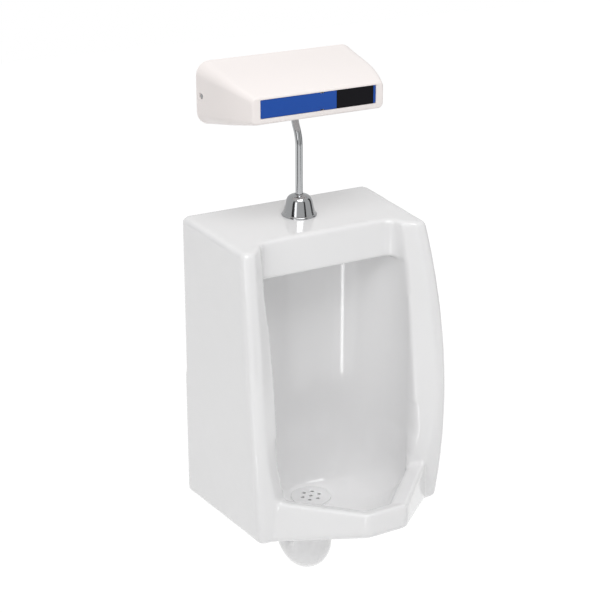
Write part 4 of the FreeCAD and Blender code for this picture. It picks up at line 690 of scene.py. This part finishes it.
@dataclass
class FlushBox:
    """The sensor box: a moulded cover with a blue strip and a dark window."""

    back_round: float = 24.0 * MM
    front_round: float = 8.5 * MM
    edge_round: float = 3.0 * MM
    wall: float = 3.0 * MM
    front_wall: float = 5.0 * MM
    front_share: float = 122.0 / 150.0
    front_rise: float = 28.0 * MM
    front_height: float = 44.0 * MM
    corner_steps: int = 10
    edge_steps: int = 5
    over: float = 10.0 * MM
    recess_gap: float = 0.5 * MM
    recess_bed: float = 0.3 * MM
    rebate: float = 2.0 * MM
    sight_depth: float = 20.0 * MM
    slot_half: float = 12.0 * MM
    slot_reach: float = 60.0 * MM
    slot_rise: float = 32.0 * MM
    pane_edge: float = 0.35 * MM
    screw_seat_r: float = 5.5 * MM
    screw_seat_floor: float = 2.0 * MM
    screw_seat_reach: float = 20.0 * MM
    bulge: float = 6.0 * MM
    bulge_steps: int = 8
    bulge_place: float = 1.5
    crown_share: float = 0.5
    notch_from: float = 2.0 * MM
    notch_w: float = 8.0 * MM
    notch_h: float = 2.0 * MM
    notch_depth: float = 9.0 * MM
    rod_sides: int = 48
    flat_angle: float = 0.02
    eased_angle: float = 40.0

    def outline(
        self, mesh: bmesh.types.BMesh, half: float, low: float, high: float, y: float, radius: float
    ) -> list[bmesh.types.BMEdge]:
        """Lay a rounded rectangle upright in the mesh.

        Args:
            mesh: The mesh to add to.
            half: Half its width.
            low: Its lowest height.
            high: Its highest height.
            y: Its distance along Y.
            radius: The corners' radius.

        Returns:
            Its edges.
        """
        grid = bmesh.ops.create_grid(mesh, x_segments=1, y_segments=1, size=1.0)
        corners = grid["verts"]
        bmesh.ops.scale(mesh, vec=(half, (high - low) / 2, 1.0), verts=corners)
        bmesh.ops.rotate(mesh, matrix=Matrix.Rotation(math.pi / 2, 3, "X"), verts=corners)
        bmesh.ops.translate(mesh, vec=(0.0, y, (low + high) / 2), verts=corners)
        before = set(mesh.verts) - set(corners)
        bmesh.ops.bevel(
            mesh, geom=corners, offset=radius, offset_type="OFFSET", segments=self.corner_steps,
            profile=0.5, affect="VERTICES", material=-1, clamp_overlap=True,
        )
        fresh = [vert for vert in mesh.verts if vert not in before]
        return [edge for edge in mesh.edges if edge.verts[0] in fresh and edge.verts[1] in fresh]

    def hood(self, room: bool) -> bmesh.types.BMesh:
        """Model the cover's outside, or the room inside it, as a closed block.

        Args:
            room: Whether the block is the room inside.

        Returns:
            The block's mesh.
        """
        low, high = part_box("box_cover")
        half, bottom, top = high[0], low[2], high[2]
        face = low[1]
        front_half = half * self.front_share
        front_low = bottom + self.front_rise
        front_high = front_low + self.front_height
        inset = self.wall if room else 0.0
        start = high[1] + (1.0 * MM if room else 0.0)
        end = face + (self.front_wall if room else 0.0)
        mesh = bmesh.new()
        last = []
        for step in range(self.bulge_steps + 1):
            share = step / self.bulge_steps
            swell = self.bulge * math.sin(math.pi * share ** self.bulge_place)
            ring = self.outline(
                mesh,
                half + (front_half - half) * share + swell - inset,
                bottom + (front_low - bottom) * share + inset,
                top + (front_high - top) * share + swell * self.crown_share - inset,
                start + (end - start) * share,
                self.back_round + (self.front_round - self.back_round) * share - inset,
            )
            if 0 < step < self.bulge_steps:
                lids = [face for face in mesh.faces if all(edge in ring for edge in face.edges)]
                bmesh.ops.delete(mesh, geom=lids, context="FACES_ONLY")
            if last:
                bmesh.ops.bridge_loops(mesh, edges=last + ring)
            last = ring
        bmesh.ops.recalc_face_normals(mesh, faces=mesh.faces)
        if not room:
            rim = [edge for edge in mesh.edges if all(abs(vert.co.y - end) < JOIN for vert in edge.verts)]
            bmesh.ops.bevel(
                mesh, geom=rim, offset=self.edge_round, offset_type="OFFSET", segments=self.edge_steps,
                profile=0.5, affect="EDGES", material=-1,
            )
        return mesh

    def block(self, shop: Workshop, name: str, low: Vector, high: Vector) -> bpy.types.Object:
        """Make a plain cutting block.

        Args:
            shop: The workshop.
            name: The block's name.
            low: Its lowest corner.
            high: Its highest corner.

        Returns:
            The block, which isn't part of the object.
        """
        mesh = bmesh.new()
        bmesh.ops.create_cube(mesh, size=1.0)
        bmesh.ops.scale(mesh, vec=high - low, verts=mesh.verts)
        bmesh.ops.translate(mesh, vec=(low + high) / 2, verts=mesh.verts)
        return shop.tool(name, mesh)

    def rod(
        self, shop: Workshop, name: str, radius: float, length: float, turn: Matrix, middle: Vector
    ) -> bpy.types.Object:
        """Make a round cutting rod.

        Args:
            shop: The workshop.
            name: The rod's name.
            radius: Its radius.
            length: Its length.
            turn: How it is turned from upright.
            middle: Its middle.

        Returns:
            The rod.
        """
        mesh = bmesh.new()
        bmesh.ops.create_cone(
            mesh, cap_ends=True, segments=self.rod_sides, radius1=radius, radius2=radius, depth=length,
            matrix=turn,
        )
        bmesh.ops.translate(mesh, vec=middle, verts=mesh.verts)
        return shop.tool(name, mesh)

    def build(self, shop: Workshop) -> None:
        """Model and dress the cover, the strip, the window and the screws.

        Args:
            shop: The workshop.
        """
        low, high = (Vector(corner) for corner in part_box("box_cover"))
        strip_low, strip_high = (Vector(corner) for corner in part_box("fascia_strip"))
        pane_low, pane_high = (Vector(corner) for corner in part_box("sensor_window"))
        gap = Vector((self.recess_gap, 0.0, self.recess_gap))
        cover = shop.piece("cover_moulded", self.hood(False), "cover_plastic", crease=32.0)
        over = Vector((0.0, self.over, 0.0))
        bed = Vector((0.0, self.recess_bed, 0.0))
        seat = centre_of("cover_screws").z
        quarter = Matrix.Rotation(math.pi / 2, 4, "Y")
        cutters = [
            shop.tool("room", self.hood(True)),
            self.block(shop, "strip_recess", strip_low - gap - over, strip_high + gap + bed),
            self.block(
                shop,
                "sight",
                Vector((pane_low.x + self.rebate, low.y - self.over, pane_low.z + self.rebate)),
                Vector((pane_high.x - self.rebate, low.y + self.sight_depth, pane_high.z - self.rebate)),
            ),
            self.block(
                shop,
                "pipe_slot",
                Vector((-self.slot_half, -self.slot_reach, low.z - self.over)),
                Vector((self.slot_half, self.over, low.z + self.slot_rise)),
            ),
            self.rod(
                shop, "slot_end", self.slot_half, self.slot_rise + self.over, Matrix.Identity(4),
                Vector((0, -self.slot_reach, low.z + (self.slot_rise - self.over) / 2)),
            ),
        ]
        for low_z, high_z in (
            (strip_low.z - self.recess_gap, strip_low.z + self.notch_h),
            (strip_high.z - self.notch_h, strip_high.z + self.recess_gap),
        ):
            near = Vector((self.notch_from, low.y - self.over, low_z))
            far = Vector((self.notch_from + self.notch_w, low.y + self.notch_depth, high_z))
            cutters.append(self.block(shop, "notch", near, far))
        screws_low, screws_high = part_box("cover_screws")
        middle_y = centre_of("cover_screws").y
        reach = self.screw_seat_reach / 2 - self.screw_seat_floor
        for side, edge in ((-1, screws_low[0]), (1, screws_high[0])):
            middle = Vector((edge + side * reach, middle_y, seat))
            cutters.append(
                self.rod(shop, "screw_seat", self.screw_seat_r, self.screw_seat_reach, quarter, middle)
            )
        shop.carve(cover, cutters)
        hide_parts("box_cover")
        for node in ("fascia_strip", "sensor_window"):
            mesh = shop.merged_mesh(node)
            bmesh.ops.dissolve_limit(
                mesh, angle_limit=self.flat_angle, verts=mesh.verts, edges=mesh.edges
            )
            item = shop.piece(node + "_finished", mesh, shop.slots[node], crease=32.0)
            ease = item.modifiers.new("eased", "BEVEL")
            ease.width = self.pane_edge
            ease.segments = 2
            ease.limit_method = "ANGLE"
            ease.angle_limit = math.radians(self.eased_angle)
            settle(item)
            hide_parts(node)
        shop.stand_in("cover_screws", crease=30.0)


# ------------------------------------------------------------------ springs


@dataclass
class Spring:
    """A coil spring wound in the sleeve that the model keeps for it."""

    node: str
    joint: str
    wire: float
    coils: float
    travel: float
    steps_a_turn: int = 24
    sides: int = 10

    def build(self, shop: Workshop) -> None:
        """Wind the spring in its sleeve.

        Args:
            shop: The workshop.
        """
        low, high = (Vector(corner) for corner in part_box(self.node))
        middle = (low + high) / 2
        radius = (high.x - low.x) / 2 - self.wire / 2
        length = high.z - low.z - self.wire
        steps = round(self.coils * self.steps_a_turn)
        mesh = bmesh.new()
        bmesh.ops.create_circle(mesh, cap_ends=True, segments=self.sides, radius=self.wire / 2)
        bmesh.ops.rotate(mesh, matrix=Matrix.Rotation(math.pi / 2, 3, "X"), verts=mesh.verts)
        bmesh.ops.translate(mesh, vec=(radius, 0.0, 0.0), verts=mesh.verts)
        start = list(mesh.verts) + list(mesh.edges) + list(mesh.faces)
        bmesh.ops.spin(
            mesh, geom=start, cent=(0, 0, 0), axis=(0, 0, 1), dvec=(0, 0, length / steps),
            angle=2 * math.pi * self.coils, steps=steps, use_duplicate=False,
        )
        bmesh.ops.remove_doubles(mesh, verts=mesh.verts, dist=WIRE_JOIN)
        bmesh.ops.recalc_face_normals(mesh, faces=mesh.faces)
        bmesh.ops.translate(
            mesh, vec=(middle.x, middle.y, low.z + self.wire / 2), verts=mesh.verts
        )
        coil = shop.piece(self.node + "_wound", mesh, "spring_steel", crease=60.0)
        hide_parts(self.node)
        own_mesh(coil)


# ------------------------------------------------------------------ studio


@dataclass(frozen=True)
class Lamp:
    """A soft lamp: where it hangs, its width and height in metres, and its power in watts."""

    name: str
    place: tuple[float, float, float]
    size: tuple[float, float]
    power: float


@dataclass(frozen=True)
class Card:
    """A dark card that the chrome mirrors: its middle, width and height in metres."""

    name: str
    place: tuple[float, float, float]
    width: float
    height: float


LAMPS = (
    Lamp("top", (-0.5, -1.7, 2.9), (2.2, 2.2), 54.0),
    Lamp("left", (-2.6, -1.5, 0.9), (1.4, 1.4), 10.0),
    Lamp("strip", (-0.90, -1.23, -0.80), (0.09, 0.62), 1.0),
)
CARDS = (
    Card("card_left", (-2.3, -0.7, 0.5), 0.9, 2.6),
    Card("card_right", (0.75, -2.5, 0.5), 0.6, 2.2),
    Card("card_far", (2.2, -0.3, 0.5), 0.8, 2.2),
)


@dataclass
class Studio:
    """A pale floor far below, a white surround, soft lamps, dark cards and the camera."""

    floor_drop: float = 0.40
    floor_half: float = 6.0
    floor_white: float = 0.80
    floor_glow: float = 1.12
    surround: float = 0.64
    card_grey: float = 0.03
    card_aim: float = -0.1
    aim: tuple[float, float, float] = (0.0, -0.18, -0.15)
    place: tuple[float, float, float] = (-1.22605, -2.24212, 0.86318)
    heading: float = -29.81
    pitch: float = 21.40
    lens: float = 90.3
    sensor: float = 36.0
    far_clip: float = 50.0

    def material(self) -> bpy.types.Material:
        """Build the floor's material: white to the camera, with the object's shadow kept."""
        material = bpy.data.materials.new("pale_floor")
        material.use_nodes = True
        nodes, links = material.node_tree.nodes, material.node_tree.links
        diffuse = nodes["Principled BSDF"]
        diffuse.inputs["Base Color"].default_value = (0.9, 0.9, 0.9, 1.0)
        diffuse.inputs["Roughness"].default_value = 0.8
        glow = nodes.new("ShaderNodeEmission")
        glow.inputs["Color"].default_value = (1.0, 1.0, 1.0, 1.0)
        glow.inputs["Strength"].default_value = self.floor_glow
        path = nodes.new("ShaderNodeLightPath")
        seen = nodes.new("ShaderNodeMath")
        seen.operation = "MAXIMUM"
        links.new(path.outputs["Is Camera Ray"], seen.inputs[0])
        links.new(path.outputs["Is Glossy Ray"], seen.inputs[1])
        share = nodes.new("ShaderNodeMath")
        share.operation = "MULTIPLY"
        share.inputs[1].default_value = self.floor_white
        links.new(seen.outputs[0], share.inputs[0])
        mixed = nodes.new("ShaderNodeMixShader")
        links.new(share.outputs[0], mixed.inputs[0])
        links.new(diffuse.outputs[0], mixed.inputs[1])
        links.new(glow.outputs[0], mixed.inputs[2])
        links.new(mixed.outputs[0], nodes["Material Output"].inputs["Surface"])
        return material

    def world(self) -> None:
        """Set the surround: white where it is seen, a plain grey fill where it lights."""
        world = bpy.data.worlds.new("surround")
        bpy.context.scene.world = world
        world.use_nodes = True
        nodes, links = world.node_tree.nodes, world.node_tree.links
        fill = nodes["Background"]
        fill.inputs["Color"].default_value = (1.0, 1.0, 1.0, 1.0)
        fill.inputs["Strength"].default_value = self.surround
        white = nodes.new("ShaderNodeBackground")
        white.inputs["Color"].default_value = (1.0, 1.0, 1.0, 1.0)
        white.inputs["Strength"].default_value = 1.0
        path = nodes.new("ShaderNodeLightPath")
        mixed = nodes.new("ShaderNodeMixShader")
        links.new(path.outputs["Is Camera Ray"], mixed.inputs[0])
        links.new(fill.outputs[0], mixed.inputs[1])
        links.new(white.outputs[0], mixed.inputs[2])
        links.new(mixed.outputs[0], nodes["World Output"].inputs["Surface"])

    def hang(self, lamp: Lamp) -> None:
        """Hang a lamp that faces the object.

        Args:
            lamp: The lamp.
        """
        data = bpy.data.lights.new(lamp.name, "AREA")
        data.shape = "RECTANGLE"
        data.size, data.size_y = lamp.size
        data.energy = lamp.power
        item = bpy.data.objects.new(lamp.name, data)
        item.location = lamp.place
        aim = Vector(self.aim) - Vector(lamp.place)
        item.rotation_euler = aim.to_track_quat("-Z", "Y").to_euler()
        item.visible_camera = False
        bpy.context.scene.collection.objects.link(item)

    def stand(self, card: Card) -> None:
        """Stand a dark card beside the view, which gives the chrome its dark streaks.

        Args:
            card: The card.
        """
        material = bpy.data.materials.new(card.name)
        material.use_nodes = True
        shader = material.node_tree.nodes["Principled BSDF"]
        shader.inputs["Base Color"].default_value = (self.card_grey, self.card_grey, self.card_grey, 1.0)
        shader.inputs["Roughness"].default_value = 1.0
        place = Vector(card.place)
        mesh = bmesh.new()
        bmesh.ops.create_grid(mesh, x_segments=1, y_segments=1, size=0.5)
        bmesh.ops.scale(mesh, vec=(card.width, card.height, 1.0), verts=mesh.verts)
        aim = (Vector((0.0, self.card_aim, place.z)) - place).to_track_quat("Z", "Y").to_matrix()
        bmesh.ops.rotate(mesh, matrix=aim, verts=mesh.verts)
        bmesh.ops.translate(mesh, vec=place, verts=mesh.verts)
        data = bpy.data.meshes.new(card.name)
        mesh.to_mesh(data)
        mesh.free()
        data.materials.append(material)
        item = bpy.data.objects.new(card.name, data)
        item.visible_camera = False
        item.visible_shadow = False
        bpy.context.scene.collection.objects.link(item)

    def camera(self) -> None:
        """Set the camera where the photograph was taken from."""
        data = bpy.data.cameras.new("view")
        data.lens = self.lens
        data.sensor_width = self.sensor
        data.clip_end = self.far_clip
        item = bpy.data.objects.new("view", data)
        item.location = self.place
        item.rotation_euler = (math.radians(90.0 - self.pitch), 0.0, math.radians(self.heading))
        bpy.context.scene.collection.objects.link(item)
        bpy.context.scene.camera = item

    def build(self) -> None:
        """Lay the floor, light the object and set the camera."""
        low, _ = CAD_BOX
        mesh = bmesh.new()
        bmesh.ops.create_grid(mesh, x_segments=1, y_segments=1, size=self.floor_half)
        bmesh.ops.translate(mesh, vec=(0, 0, low[2] - self.floor_drop), verts=mesh.verts)
        data = bpy.data.meshes.new("floor")
        mesh.to_mesh(data)
        mesh.free()
        floor = bpy.data.objects.new("floor", data)
        data.materials.append(self.material())
        bpy.context.scene.collection.objects.link(floor)
        self.world()
        for lamp in LAMPS:
            self.hang(lamp)
        for card in CARDS:
            self.stand(card)
        self.camera()
        bpy.context.scene.view_settings.view_transform = "Standard"


# ------------------------------------------------------------------ assembly


def main() -> None:
    """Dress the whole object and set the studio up."""
    logging.basicConfig(level=logging.INFO, format="%(name)s %(message)s")
    shop = Workshop()
    shop.paint_nodes()
    China().build(shop)
    Strainer().build(shop)
    FlushPipe().build(shop)
    FlushBox().build(shop)
    Spring("piston_spring", "piston_lift", wire=0.0012, coils=5.0, travel=0.006).build(shop)
    Spring("plunger_spring", "plunger_lift", wire=0.0006, coils=6.0, travel=0.0025).build(shop)
    Studio().build()


if __name__ == "__main__":
    main()
